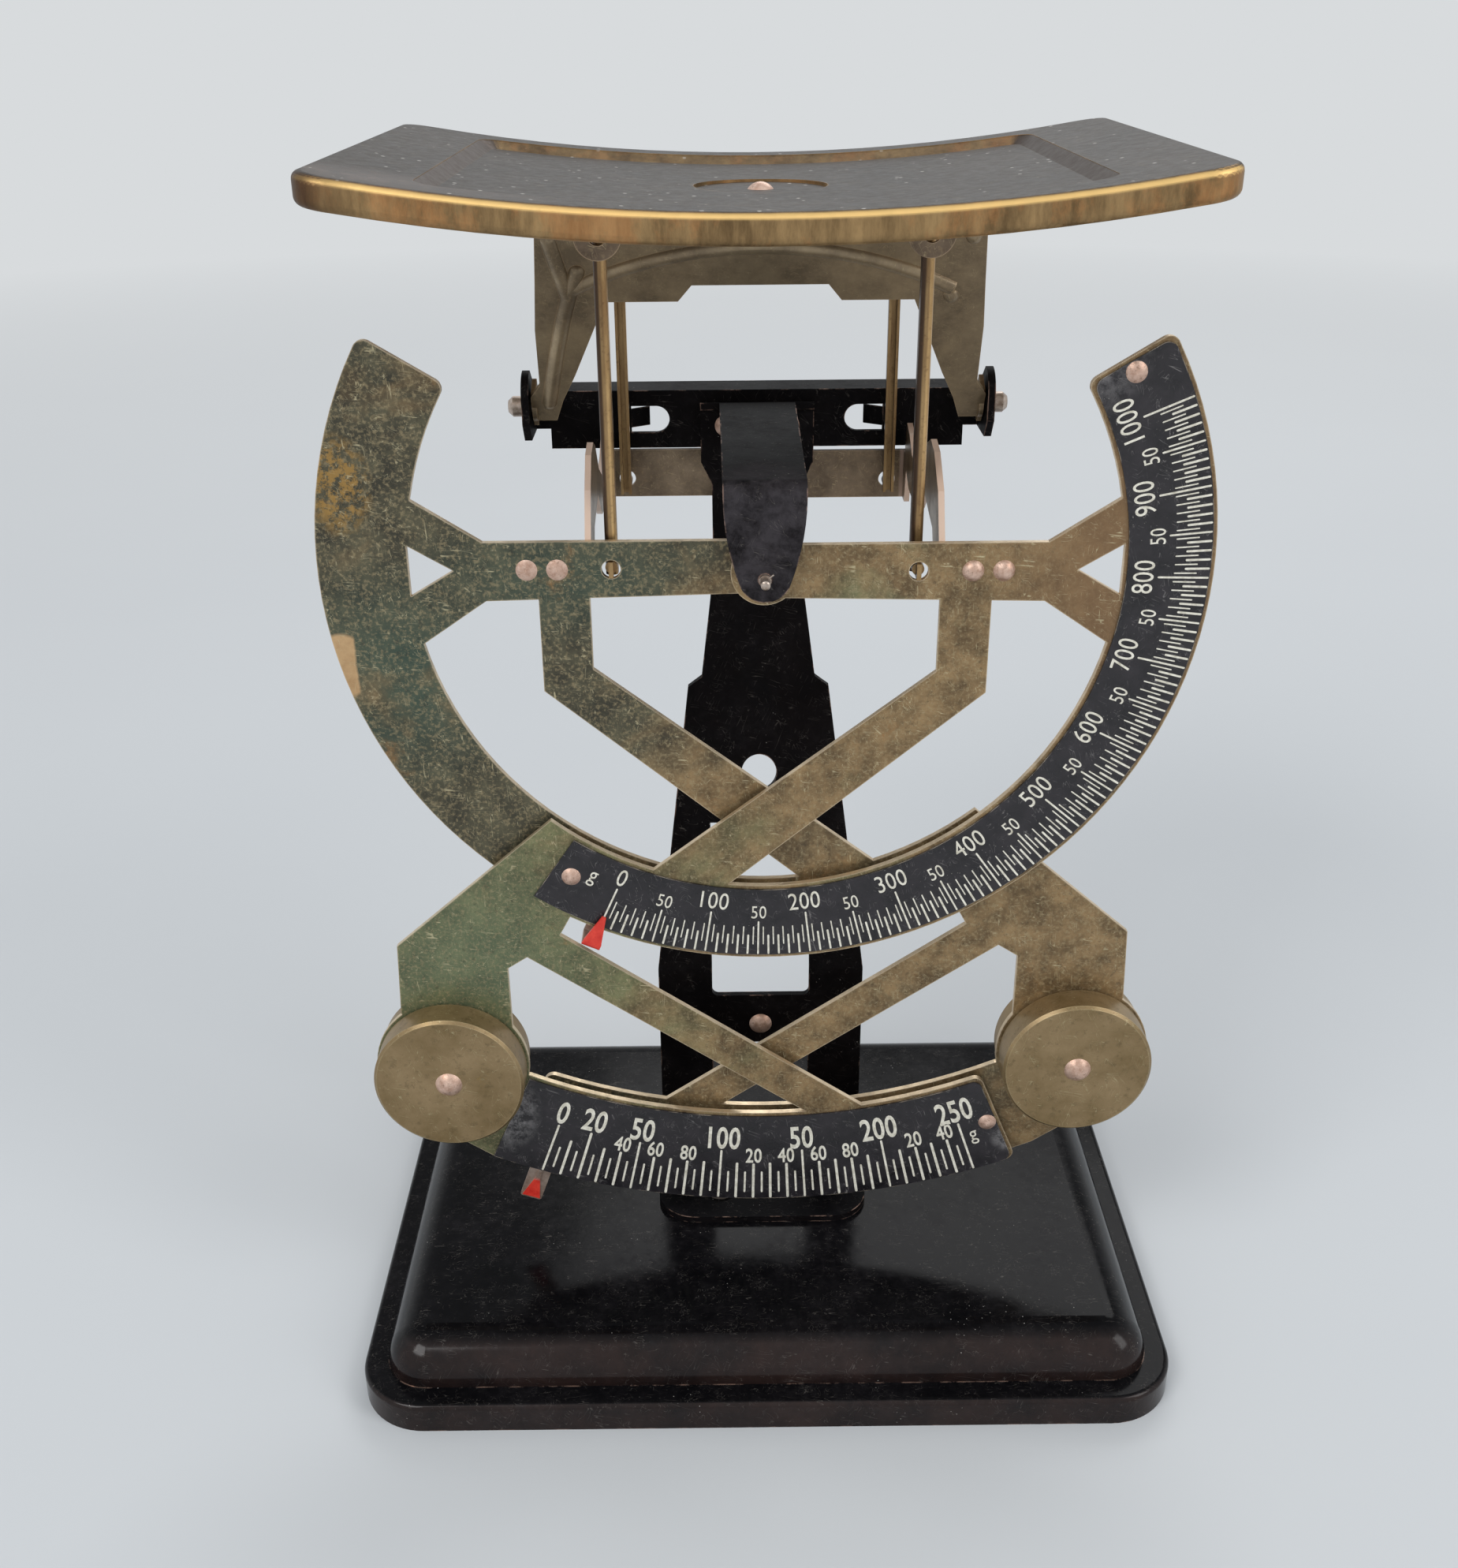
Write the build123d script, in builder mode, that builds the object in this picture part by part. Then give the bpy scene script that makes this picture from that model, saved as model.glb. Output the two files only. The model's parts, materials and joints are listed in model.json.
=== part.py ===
from build123d import *
import os
from math import acos, asin, atan2, cos, degrees, hypot, radians, sin

os.makedirs("parts", exist_ok=True)

# The pivot stands as high as the lower pointer needs to swing clear of the base
base_height = 17.0
lower_outer = 151.5
lower_pointer_reach = lower_outer + 10.5
base_clear = 1.0
pivot_height = base_height + base_clear + lower_pointer_reach

# Stack of sheets along Y at the front
plate_sheet = 1.2
plate_gap = 1.8
front_plate_y = -24.0
rear_plate_y = front_plate_y + plate_sheet + plate_gap
label_sheet = 0.4
tongue_gap = 2.6

# Clearances
press_clearance = 0.02
run_clearance = 0.05
side_clearance = 0.15

# Base
base_length = 179.0
base_depth = 130.0
base_corner = 15.0
base_ledge_height = 7.0
base_ledge = 5.5
base_shoulder = 9.0
base_wall = 2.5
bottom_sheet = 1.2
bottom_gap = 0.2

# Column, bent from one strip
strip_sheet = 1.6
strip_bend = 3.0
foot_width = 49.6
foot_front_y = -19.0
foot_corner = 9.0
column_y = 7.6
column_width = 48.4
column_knee = 72.0
head_y = 40.6
head_knee = pivot_height - 14.0
head_width = 25.2
shoulder_height = pivot_height - 44.0
neck_height = pivot_height - 26.0
shoulder_width = 32.6
neck_width = 20.4
top_height = pivot_height + 18.6
top_width = 16.7
tongue_width = 15.7
tongue_end = 4.5
column_hole = 4.1
column_hole_height = pivot_height - 64.0
window_width = 23.0
upper_window = (64.5, pivot_height - 76.0)
lower_window = (23.0, 51.1)
bridge_rivet_height = 56.4
foot_screw_places = ((-10.0, -9.0), (10.0, 0.0))
screw_head = 7.4
screw_shank = 3.8
screw_head_height = 2.4
screw_slot = 1.0
screw_rim = 0.6
screw_length = 11.0
nut_width = 6.4
nut_height = 2.6

# Cross bar with its two ears
bar_sheet = 1.2
bar_length = 92.0
bar_bottom = pivot_height + 8.0
bar_top = pivot_height + 20.8
bar_depth = 9.4
ear_inner = 49.1
ear_sheet = 1.6
ear_front_y = 27.0
ear_bottom = pivot_height + 12.5
ear_top = pivot_height + 27.0
louvre_inner = 19.5
louvre_outer = 28.0
louvre_height = 5.9
bar_rivet_x = 7.0
bar_rivet_height = pivot_height + 13.2
hinge_y = 33.0
hinge_height = pivot_height + 19.3
hinge_pin = 2.2
hinge_head = 4.4
hinge_head_reach = 3.4

# Axle
axle = 2.4
axle_tip = 1.8
axle_groove = 1.2
spacer = 6.0
axle_stub = 3.7
clip_sheet = 0.6
clip_wire = 0.35
clip_ring = 1.15
clip_tail = 0.9
clip_tail_angle = 38.0

# Quadrant plates, in polar sizes about the pivot, angles from straight down
upper_inner = 68.5
upper_outer = 86.0
upper_start = -39.75
upper_end = 121.2
lower_inner = 127.3
lower_start = -24.0
lower_end = 22.3
band_corner = 2.0
weight_angle = -31.25
weight_circle = 132.4
weight_end = 16.8
arm_outer = 79.0
arm_inner = 55.0
arm_shoulder = 13.7
arm_root = 24.9
corner_reach = 27.7
corner_angle = -43.5
strut_angles = (-28.45, -30.67)
strut_reach = (5.1, 13.4)
strut_foot_angles = (6.3, 12.2)
strut_foot_lap = (3.8, 5.3)
hub = 6.5
beam_half = 5.6
load_arm = 29.5
load_hole = 3.7
tab_rivets = (39.9, 45.8)
strut_arm = (33.8, 43.8)
label_rivet = 1.3

# Scale labels
label_margin = 0.8
upper_label_start = -34.5
lower_label_start = -24.0
upper_label_rivets = (-31.5, 119.1)
upper_label_circle = 77.0
lower_label_rivet = 21.2
lower_label_circle = 139.6

# Weights
weight_disc = 16.3
weight_front = 7.3
weight_rear = 5.0
weight_edge = 0.6
weight_rivet = 2.9

# Pointers on the rear plate
upper_pointer_angle = -24.2
upper_pointer_width = 4.0
upper_pointer_clear = 4.4
upper_pointer_lap = 3.8
upper_pointer_reach = upper_outer + upper_pointer_clear
upper_pointer_tip = upper_outer - upper_pointer_lap
pointer_sheet = 0.6
pointer_front_gap = 0.7
lower_pointer_angle = -19.6
lower_pointer_width = 5.0
pointer_foot = 12.0

# Side brackets
bracket_sheet = 1.2
web_x = 33.2
tab_end = 50.0
tab_half = 5.0
right_arm_y = 42.0
arm_gap = 1.2
arm_half = 5.4
arm_rise = 1.2

# Struts
strut_width = 2.4
strut_depth = 2.5
strut_wall = 0.6
strut_fold = 1.0
strut_gap = 1.0
strut_rear_y = 37.4
strut_length = 61.5
strut_end = 1.8
strut_top = 0.4
knife = 0.9
load_neck = 1.2
pin_proud = 0.6
lug_gap = 0.3

# Pan and its carrier
pan_length = 154.6
pan_front_y = -46.4
pan_rear_y = 64.8
pan_corner = 6.5
pan_middle = pivot_height + 68.0
pan_rise = 6.95
pan_sheet = 0.8
pan_flange = 5.6
pan_edge = 1.5
recess_length = 118.0
recess_margin = 9.5
recess_depth = 1.6
recess_slope = 2.6
recess_corner = 5.0
cup_radius = 12.85
cup_depth = 0.5
pan_rivet_head = 2.5
pan_rivet_rise = 1.3
carrier_sheet = 1.2
carrier_half = 34.0
lug_radius = 4.3
lug_hole = 1.7
lug_front_y = -22.0
lug_rear_y = 43.2

# Guide yoke, a sheet leaning forward from its hinge
yoke_lean = 57.3
yoke_offset = 2.5
yoke_sheet = 1.0
yoke_top = 49.0
yoke_outer = 46.4
yoke_foot = 48.7
yoke_tab = 3.2
yoke_rib = 3.2
yoke_rib_height = 1.1


def polar(radius, angle):
    """Point about the pivot, the angle counted from straight down towards +X."""
    return (radius * sin(radians(angle)), -radius * cos(radians(angle)))


def upright(y):
    """Plane seen from the front, with its origin on the pivot axis."""
    return Plane(origin=(0, y, pivot_height), x_dir=(1, 0, 0), z_dir=(0, -1, 0))


def facing(y):
    """Plane seen from the front, with its origin at the foot of the part."""
    return Plane(origin=(0, y, 0), x_dir=(1, 0, 0), z_dir=(0, -1, 0))


def dome(radius, rise):
    """Middle of a dome's arc, as distance from the axis and height over its rim."""
    ball = (radius ** 2 + rise ** 2) / (2 * rise)
    half_angle = asin(radius / ball) / 2
    return (ball * sin(half_angle), rise - ball + ball * cos(half_angle))


def finish(piece, name):
    """Label a finished piece and write it."""
    piece.part.label = name
    export_step(piece.part, f"parts/{name}.step")


def band(inner, outer, start, end):
    """Ring sector between two angles."""
    middle = (start + end) / 2
    with BuildSketch() as sector:
        with BuildLine():
            ThreePointArc(polar(outer, start), polar(outer, middle), polar(outer, end))
            Line(polar(outer, end), polar(inner, end))
            ThreePointArc(polar(inner, end), polar(inner, middle), polar(inner, start))
            Line(polar(inner, start), polar(outer, start))
        make_face()
        end_side = polar(1000, end)
        near_end = sector.vertices().sort_by_distance(Vector(*end_side))[0:2]
        fillet(near_end, radius=band_corner)
    return sector.sketch


def rivet(x, z, front, back, head, rise, shank, tail):
    """Domed rivet along Y: its head stands before front, its tail behind back."""
    arc_radius, arc_height = dome(head, rise)
    with BuildPart() as piece:
        with BuildSketch(Plane(origin=(x, 0, z), x_dir=(0, 1, 0), z_dir=(1, 0, 0))):
            with BuildLine():
                Line((front - rise, 0), (back + tail, 0))
                ThreePointArc((front - rise, 0), (front - arc_height, -arc_radius), (front, -head))
                Polyline(
                    (front, -head), (front, -shank), (back, -shank), (back, -head * 0.8),
                    (back + tail, -head * 0.8), (back + tail, 0),
                )
            make_face()
        revolve(axis=Axis((x, 0, z), (0, 1, 0)))
    return piece.part


def spin(points, z=pivot_height):
    """Solid turned about an axis along Y from points of (y, radius)."""
    with BuildPart() as piece:
        with BuildSketch(Plane(origin=(0, 0, z), x_dir=(0, 1, 0), z_dir=(1, 0, 0))):
            with BuildLine():
                Polyline(*[(y, -radius) for y, radius in points], close=True)
            make_face()
        revolve(axis=Axis((0, 0, z), (0, 1, 0)))
    return piece.part


weight_x, weight_z = polar(weight_circle, weight_angle)
column_front_y = column_y - strip_sheet
head_front_y = head_y - strip_sheet
tongue_y = front_plate_y - tongue_gap - strip_sheet
left_arm_y = right_arm_y + plate_sheet + arm_gap
strut_front_y = rear_plate_y + plate_sheet + strut_gap


def weight_tangent():
    """Where a line from the lower band's outer edge touches the round weight end."""
    corner_x, corner_z = polar(lower_outer, lower_start)
    away = hypot(corner_x - weight_x, corner_z - weight_z)
    bearing = atan2(corner_z - weight_z, corner_x - weight_x) - acos(weight_end / away)
    return (weight_x + weight_end * cos(bearing), weight_z + weight_end * sin(bearing))


def quadrant():
    """Pendulum plate seen from the front: bands, weight end, struts, beam and hub."""
    strut_root = [
        polar(upper_outer + reach, angle) for reach, angle in zip(strut_reach, strut_angles)
    ]
    with BuildSketch() as outline:
        add(band(upper_inner, upper_outer, upper_start, upper_end))
        add(band(lower_inner, lower_outer, lower_start, lower_end))
        with Locations((weight_x, weight_z)):
            Circle(weight_end)
        Polygon(
            (weight_x, weight_z), polar(lower_inner, lower_start),
            polar(lower_outer, lower_start), weight_tangent(), align=None,
        )
        # Corner plate and the arm down to the weight
        Polygon(
            polar(upper_inner, upper_start), polar(upper_outer + corner_reach, corner_angle),
            (-arm_outer, weight_z + arm_shoulder), (weight_x, weight_z), (-arm_inner, weight_z),
            (-arm_inner, weight_z + arm_root), *strut_root[::-1],
            polar(upper_outer, strut_angles[0]), align=None,
        )
        # Lower strut, which ends inside the lower band
        Polygon(
            *strut_root, *[
                polar(lower_inner + lap, angle)
                for lap, angle in zip(strut_foot_lap, strut_foot_angles)
            ], align=None,
        )
        # Upper strut with the arm that hangs from the beam
        Polygon(
            (strut_arm[0], 0), (strut_arm[0], -20.6), (-25.1, -66.1), (-10.0, -70.2),
            (strut_arm[1], -25.2), (strut_arm[1], 0), align=None,
        )
        # Beam with its fork to the upper band
        Polygon(
            (0, beam_half), (54, beam_half), (69, 15.2), (69, -16.4), (54, -beam_half - 0.6),
            (0, -beam_half + 0.6), align=None,
        )
        Circle(hub)
        Polygon((59.9, 0), (upper_inner, 5.1), (upper_inner, -5.1), align=None, mode=Mode.SUBTRACT)
        # Bores
        Circle(axle / 2 + run_clearance, mode=Mode.SUBTRACT)
        with Locations((load_arm, 0)):
            Circle(load_hole / 2, mode=Mode.SUBTRACT)
        with Locations(*[(x, 0) for x in tab_rivets]):
            Circle(label_rivet + press_clearance, mode=Mode.SUBTRACT)
        with Locations((weight_x, weight_z)):
            Circle(weight_rivet * 0.6 + press_clearance, mode=Mode.SUBTRACT)
    return outline.sketch


def label_holes():
    """Places of the rivets that hold the two scale labels."""
    places = [polar(upper_label_circle, angle) for angle in upper_label_rivets]
    places.append(polar(lower_label_circle, lower_label_rivet))
    return places


def rounded_block(inset, low, high, corner):
    """Block over the base's outline, drawn in by an inset."""
    with BuildPart() as block:
        with BuildSketch(Plane.XY.offset(low)):
            RectangleRounded(base_length - 2 * inset, base_depth - 2 * inset, corner - inset)
        extrude(amount=high - low)
    return block


# Base shell: a rim, a ledge and a plateau with a round shoulder, hollow below
plateau = rounded_block(base_ledge, 0, base_height, base_corner)
with BuildPart() as plateau_hollow:
    add(rounded_block(base_ledge + base_wall, 0, base_height - base_wall, base_corner).part)
    hollow_edges = plateau_hollow.faces().sort_by(Axis.Z)[-1].edges()
    fillet(hollow_edges, radius=base_shoulder - base_wall)
with BuildPart() as base_shell:
    add(rounded_block(0, 0, base_ledge_height, base_corner).part)
    add(plateau.part)
    shoulder = base_shell.faces().sort_by(Axis.Z)[-1].edges()
    fillet(shoulder, radius=base_shoulder)
    rim_edge = base_shell.faces().filter_by(Plane.XY).sort_by(Axis.Z)[-2].outer_wire().edges()
    fillet(rim_edge, radius=1.2)
    add(
        rounded_block(base_wall, 0, base_ledge_height - base_wall, base_corner).part,
        mode=Mode.SUBTRACT,
    )
    add(plateau_hollow.part, mode=Mode.SUBTRACT)
    with Locations(*[(x, y, base_height) for x, y in foot_screw_places]):
        Hole(screw_shank / 2 + press_clearance)
finish(base_shell, "base_shell")

# Bottom plate, seated against the step inside the rim
plate_top = base_ledge_height - base_wall
with BuildPart() as base_plate:
    add(
        rounded_block(
            base_wall + bottom_gap, plate_top - bottom_sheet, plate_top, base_corner
        ).part
    )
finish(base_plate, "base_plate")

# Column strip: foot, slanted back, head, level top and hanging tongue
with BuildPart() as column:
    with BuildSketch(Plane.YZ):
        with BuildLine():
            FilletPolyline(
                (foot_front_y, base_height), (column_y, base_height), (column_y, column_knee),
                (head_y, head_knee), (head_y, top_height), (tongue_y, top_height),
                (tongue_y, pivot_height - tongue_end), radius=strip_bend,
            )
            offset(amount=strip_sheet, side=Side.LEFT)
        make_face()
    extrude(amount=foot_width / 2, both=True)
    # Sides of the back, narrower towards the neck
    with BuildSketch(facing(head_y + strip_sheet)):
        with BuildLine():
            Polyline(
                (column_width / 2, base_height + strip_sheet), (column_width / 2, column_knee),
                (shoulder_width / 2, shoulder_height - 1.0),
                (shoulder_width / 2 - 3.2, shoulder_height + 1.2),
                (neck_width / 2 + 0.7, neck_height), (neck_width / 2, head_knee),
                (neck_width / 2, pivot_height), (head_width / 2, pivot_height + 5.0),
                (head_width / 2, top_height + 1), (foot_width, top_height + 1),
                (foot_width, base_height + strip_sheet), close=True,
            )
        make_face()
        mirror(about=Plane.YZ)
    extrude(amount=head_y - foot_front_y + 2 * strip_sheet, mode=Mode.SUBTRACT)
    # Sides of the level top
    with BuildSketch(Plane.XY.offset(bar_bottom)):
        with BuildLine():
            Polyline(
                (top_width / 2, head_front_y - 1.5), (tongue_width / 2, tongue_y),
                (tongue_width / 2, tongue_y - 1), (foot_width, tongue_y - 1),
                (foot_width, head_front_y - 1.5), close=True,
            )
        make_face()
        mirror(about=Plane.YZ)
    extrude(amount=top_height - bar_bottom + 1, mode=Mode.SUBTRACT)
    # Tongue with its round end
    with BuildSketch(upright(tongue_y + strip_sheet + 0.5)):
        Rectangle(foot_width * 2, 2 * (top_height - pivot_height - strip_bend))
        with BuildLine():
            Line((-tongue_width / 2, 16), (tongue_width / 2, 16))
            ThreePointArc((tongue_width / 2, 16), (6.6, 5), (4.6, -1.6))
            ThreePointArc((4.6, -1.6), (0, -tongue_end), (-4.6, -1.6))
            ThreePointArc((-4.6, -1.6), (-6.6, 5), (-tongue_width / 2, 16))
        make_face(mode=Mode.SUBTRACT)
    extrude(amount=strip_sheet + 1, mode=Mode.SUBTRACT)
    # Foot corners
    front_edges = column.edges().filter_by(Axis.Z).filter_by_position(
        Axis.Y, foot_front_y - 0.1, foot_front_y + 0.1
    )
    fillet(front_edges, radius=foot_corner)
    # Windows and the round hole
    with BuildSketch(facing(column_y + strip_sheet)):
        for low, high in (upper_window, lower_window):
            with Locations((0, (low + high) / 2)):
                RectangleRounded(window_width, high - low, 1.5)
        with Locations((0, bridge_rivet_height)):
            Circle(label_rivet + press_clearance)
    extrude(amount=3 * strip_sheet, mode=Mode.SUBTRACT)
    with BuildSketch(facing(head_front_y)):
        with Locations((0, (column_knee + upper_window[1]) / 2 + 0.5)):
            Rectangle(window_width, upper_window[1] - column_knee + 1)
        with Locations((0, column_hole_height)):
            Circle(column_hole)
    extrude(amount=head_front_y - column_front_y + strip_sheet, mode=Mode.SUBTRACT)
    # Bores for the axle, the bar's rivets and the foot screws
    with BuildSketch(upright(head_y + 1)):
        Circle(axle / 2 + press_clearance)
        with Locations(*[(x, bar_rivet_height - pivot_height) for x in (-bar_rivet_x, bar_rivet_x)]):
            Circle(label_rivet + press_clearance)
    extrude(amount=strip_sheet + 2, mode=Mode.SUBTRACT)
    with BuildSketch(upright(tongue_y + strip_sheet + 0.5)):
        Circle(axle / 2 + press_clearance)
    extrude(amount=strip_sheet + 1, mode=Mode.SUBTRACT)
    with Locations(*[(x, y, base_height + strip_sheet) for x, y in foot_screw_places]):
        Hole(screw_shank / 2 + press_clearance, depth=strip_sheet)
finish(column, "column")

# Rivet left in the bridge between the two windows
with BuildPart() as bridge_rivet:
    add(rivet(0, bridge_rivet_height, column_front_y, column_y, 2.7, 1.3, label_rivet, 0.8))
finish(bridge_rivet, "bridge_rivet")

# Slotted screws that hold the foot, and their nuts inside the base
screw_seat = base_height + strip_sheet
arc_radius, arc_height = dome(screw_head / 2, screw_head_height - screw_rim)
with BuildPart() as foot_screws:
    for x, y in foot_screw_places:
        with BuildSketch(Plane(origin=(x, y, screw_seat), x_dir=(1, 0, 0), z_dir=(0, -1, 0))):
            with BuildLine():
                Line((0, screw_head_height), (0, -screw_length))
                Polyline(
                    (0, -screw_length), (screw_shank / 2, -screw_length), (screw_shank / 2, 0),
                    (screw_head / 2, 0), (screw_head / 2, screw_rim),
                )
                ThreePointArc(
                    (screw_head / 2, screw_rim), (arc_radius, screw_rim + arc_height),
                    (0, screw_head_height),
                )
            make_face()
        revolve(axis=Axis((x, y, 0), (0, 0, 1)))
        with Locations((x, y, screw_seat + screw_head_height)):
            Box(screw_head * 1.2, screw_slot, 2.2, rotation=(0, 0, 35), mode=Mode.SUBTRACT)
finish(foot_screws, "foot_screws")

nut_top = base_height - base_wall
with BuildPart() as foot_nuts:
    with BuildSketch(Plane.XY.offset(nut_top - nut_height)):
        with Locations(*foot_screw_places):
            RegularPolygon(nut_width / 2, 6, major_radius=False)
            Circle(screw_shank / 2 + press_clearance, mode=Mode.SUBTRACT)
    extrude(amount=nut_height)
finish(foot_nuts, "foot_nuts")

# Cross bar: a channel behind the column's head, ears folded forward at its ends
bar_middle = (bar_bottom + bar_top) / 2
ear_outer = ear_inner + ear_sheet
bar_back_y = head_y + bar_sheet
with BuildPart() as cross_bar:
    with BuildSketch(facing(head_y)):
        with Locations((0, bar_middle)):
            Rectangle(bar_length, bar_top - bar_bottom)
        with Locations((0, (ear_bottom + bar_top) / 2)):
            Rectangle(2 * ear_outer, bar_top - ear_bottom)
    extrude(amount=-bar_sheet)
    with BuildSketch(facing(head_y)):
        for height in (bar_bottom + bar_sheet / 2, bar_top - bar_sheet / 2):
            with Locations((0, height)):
                Rectangle(bar_length, bar_sheet)
    extrude(amount=-bar_depth)
    for side in (-1, 1):
        ear_face = ear_inner if side > 0 else -ear_outer
        with BuildSketch(Plane.YZ.offset(ear_face)):
            with BuildLine():
                Polyline(
                    (bar_back_y, ear_bottom), (ear_front_y + 3, ear_bottom),
                    (ear_front_y, ear_bottom + 4), (ear_front_y, ear_top - 5),
                )
                ThreePointArc(
                    (ear_front_y, ear_top - 5), (ear_front_y + 2.2, ear_top - 1.2),
                    (hinge_y, ear_top),
                )
                Polyline(
                    (hinge_y, ear_top), (bar_back_y, bar_top), (bar_back_y, ear_bottom)
                )
            make_face()
            with Locations((hinge_y, hinge_height)):
                Circle(hinge_pin / 2 + press_clearance, mode=Mode.SUBTRACT)
        extrude(amount=ear_sheet)
    # Louvres: openings with a round inner end and a tab bent back from the outer one
    louvre_length = louvre_outer - louvre_inner
    with BuildSketch(facing(head_y)):
        for side in (-1, 1):
            with Locations((side * (louvre_inner + louvre_height / 2), bar_middle)):
                Circle(louvre_height / 2)
            with Locations((side * (louvre_outer + louvre_inner + louvre_height / 2) / 2, bar_middle)):
                Rectangle(louvre_length - louvre_height / 2, louvre_height)
        with Locations((-bar_rivet_x, bar_rivet_height), (bar_rivet_x, bar_rivet_height)):
            Circle(label_rivet + press_clearance)
    extrude(amount=-bar_sheet, mode=Mode.SUBTRACT)
    for side in (-1, 1):
        with BuildSketch(Plane.XY.offset(bar_middle - louvre_height * 0.35)):
            Polygon(
                (side * (louvre_outer + 0.6), head_y + bar_sheet * 0.6),
                (side * (louvre_outer - 4), head_y + bar_sheet + 2.4),
                (side * (louvre_outer - 4), head_y + bar_sheet + 3.2),
                (side * (louvre_outer + 0.6), bar_back_y), align=None,
            )
        extrude(amount=louvre_height * 0.7)
finish(cross_bar, "cross_bar")

with BuildPart() as bar_rivets:
    for side in (-1, 1):
        add(
            rivet(
                side * bar_rivet_x, bar_rivet_height, head_front_y, bar_back_y, 2.4, 1.0,
                label_rivet, 0.6,
            )
        )
finish(bar_rivets, "bar_rivets")

# Hinge pins of the guide yoke, one through each ear
pin_inner = yoke_foot - yoke_sheet - 1.7
with BuildPart() as hinge_pins:
    for side in (-1, 1):
        with BuildSketch(Plane.XY.offset(hinge_height)):
            with BuildLine():
                Polyline(
                    (side * pin_inner, hinge_y), (side * pin_inner, hinge_y + hinge_pin / 2),
                    (side * ear_outer, hinge_y + hinge_pin / 2),
                    (side * ear_outer, hinge_y + hinge_head / 2),
                    (side * (ear_outer + hinge_head_reach - 1), hinge_y + hinge_head / 2),
                    (side * (ear_outer + hinge_head_reach), hinge_y + hinge_head * 0.3),
                    (side * (ear_outer + hinge_head_reach), hinge_y), close=True,
                )
            make_face()
        revolve(axis=Axis((0, hinge_y, hinge_height), (1, 0, 0)))
finish(hinge_pins, "hinge_pins")

# Main axle through tongue, plates, column head and rear arms
left_arm_back = left_arm_y + bracket_sheet
clip_front = tongue_y - clip_wire - 0.4
stub_end = tongue_y - axle_stub
stub_neck = stub_end + 1.1
clip_rear = left_arm_back + 2 * side_clearance + 0.6
groove_gap = 0.1
rear_end = clip_rear + clip_sheet + 1.4
with BuildPart() as main_axle:
    add(
        spin(
            [
                (stub_end, 0), (stub_end, axle_tip / 2 - 0.3), (stub_end + 0.3, axle_tip / 2),
                (stub_neck, axle_tip / 2), (stub_neck, axle_groove / 2),
                (stub_neck + 0.5, axle_groove / 2), (stub_neck + 0.5, axle_tip / 2),
                (clip_front - groove_gap, axle_tip / 2), (clip_front - groove_gap, axle_groove / 2),
                (clip_front + clip_wire + groove_gap, axle_groove / 2),
                (clip_front + clip_wire + groove_gap, axle_tip / 2),
                (tongue_y - 0.2, axle_tip / 2), (tongue_y - 0.2, axle / 2),
                (clip_rear - groove_gap, axle / 2), (clip_rear - groove_gap, axle_groove / 2),
                (clip_rear + clip_sheet + groove_gap, axle_groove / 2),
                (clip_rear + clip_sheet + groove_gap, axle / 2), (rear_end, axle / 2),
                (rear_end, 0),
            ]
        )
    )
finish(main_axle, "main_axle")

# Spacer rings that keep the plates and arms apart on the axle
rear_plate_back = rear_plate_y + plate_sheet
spacer_spans = (
    (tongue_y + strip_sheet, front_plate_y - side_clearance),
    (front_plate_y + plate_sheet + side_clearance, rear_plate_y - side_clearance),
    (rear_plate_back + side_clearance, rear_plate_back + side_clearance + 2.6),
    (head_y, right_arm_y - side_clearance),
    (right_arm_y + bracket_sheet + side_clearance, left_arm_y - side_clearance),
    (left_arm_back + side_clearance, clip_rear),
)
with BuildPart() as axle_spacers:
    for start, end in spacer_spans:
        with BuildSketch(upright(start)):
            Circle(spacer / 2)
            Circle(axle / 2 + press_clearance, mode=Mode.SUBTRACT)
        extrude(amount=start - end)
finish(axle_spacers, "axle_spacers")

# Spring clips in the axle's grooves; the front one has a short wire tail
with BuildPart() as axle_clips:
    with BuildSketch(upright(clip_front)):
        Circle(clip_ring)
        Circle(axle_groove / 2 + press_clearance, mode=Mode.SUBTRACT)
        Polygon((0, 0), (-3, -1.4), (-3, 1.4), align=None, mode=Mode.SUBTRACT)
        with Locations(Location((0, 0), clip_tail_angle)):
            with Locations((clip_ring + clip_tail / 2 - 0.1, 0)):
                Rectangle(clip_tail + 0.2, 0.24)
    extrude(amount=-clip_wire)
    with BuildSketch(upright(clip_rear)):
        Circle(2.6)
        Circle(axle_groove / 2 + press_clearance, mode=Mode.SUBTRACT)
        Polygon((0, 0), (-2, -4), (2, -4), align=None, mode=Mode.SUBTRACT)
    extrude(amount=-clip_sheet)
finish(axle_clips, "axle_clips")

# Quadrant plates, the rear one the mirror image of the front one
front_outline = quadrant()
rear_outline = mirror(front_outline, about=Plane.YZ)
with BuildPart() as front_quadrant:
    with BuildSketch(upright(front_plate_y)):
        add(front_outline)
        with Locations(*label_holes()):
            Circle(label_rivet + press_clearance, mode=Mode.SUBTRACT)
    extrude(amount=-plate_sheet)
finish(front_quadrant, "front_quadrant")

upper_pointer_rivet = polar(upper_label_circle, upper_pointer_angle)
lower_pointer_rivet = polar(lower_label_circle, lower_pointer_angle)
with BuildPart() as rear_quadrant:
    with BuildSketch(upright(rear_plate_y)):
        add(rear_outline)
        with Locations(upper_pointer_rivet, lower_pointer_rivet):
            Circle(label_rivet + press_clearance, mode=Mode.SUBTRACT)
    extrude(amount=-plate_sheet)
finish(rear_quadrant, "rear_quadrant")

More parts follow.
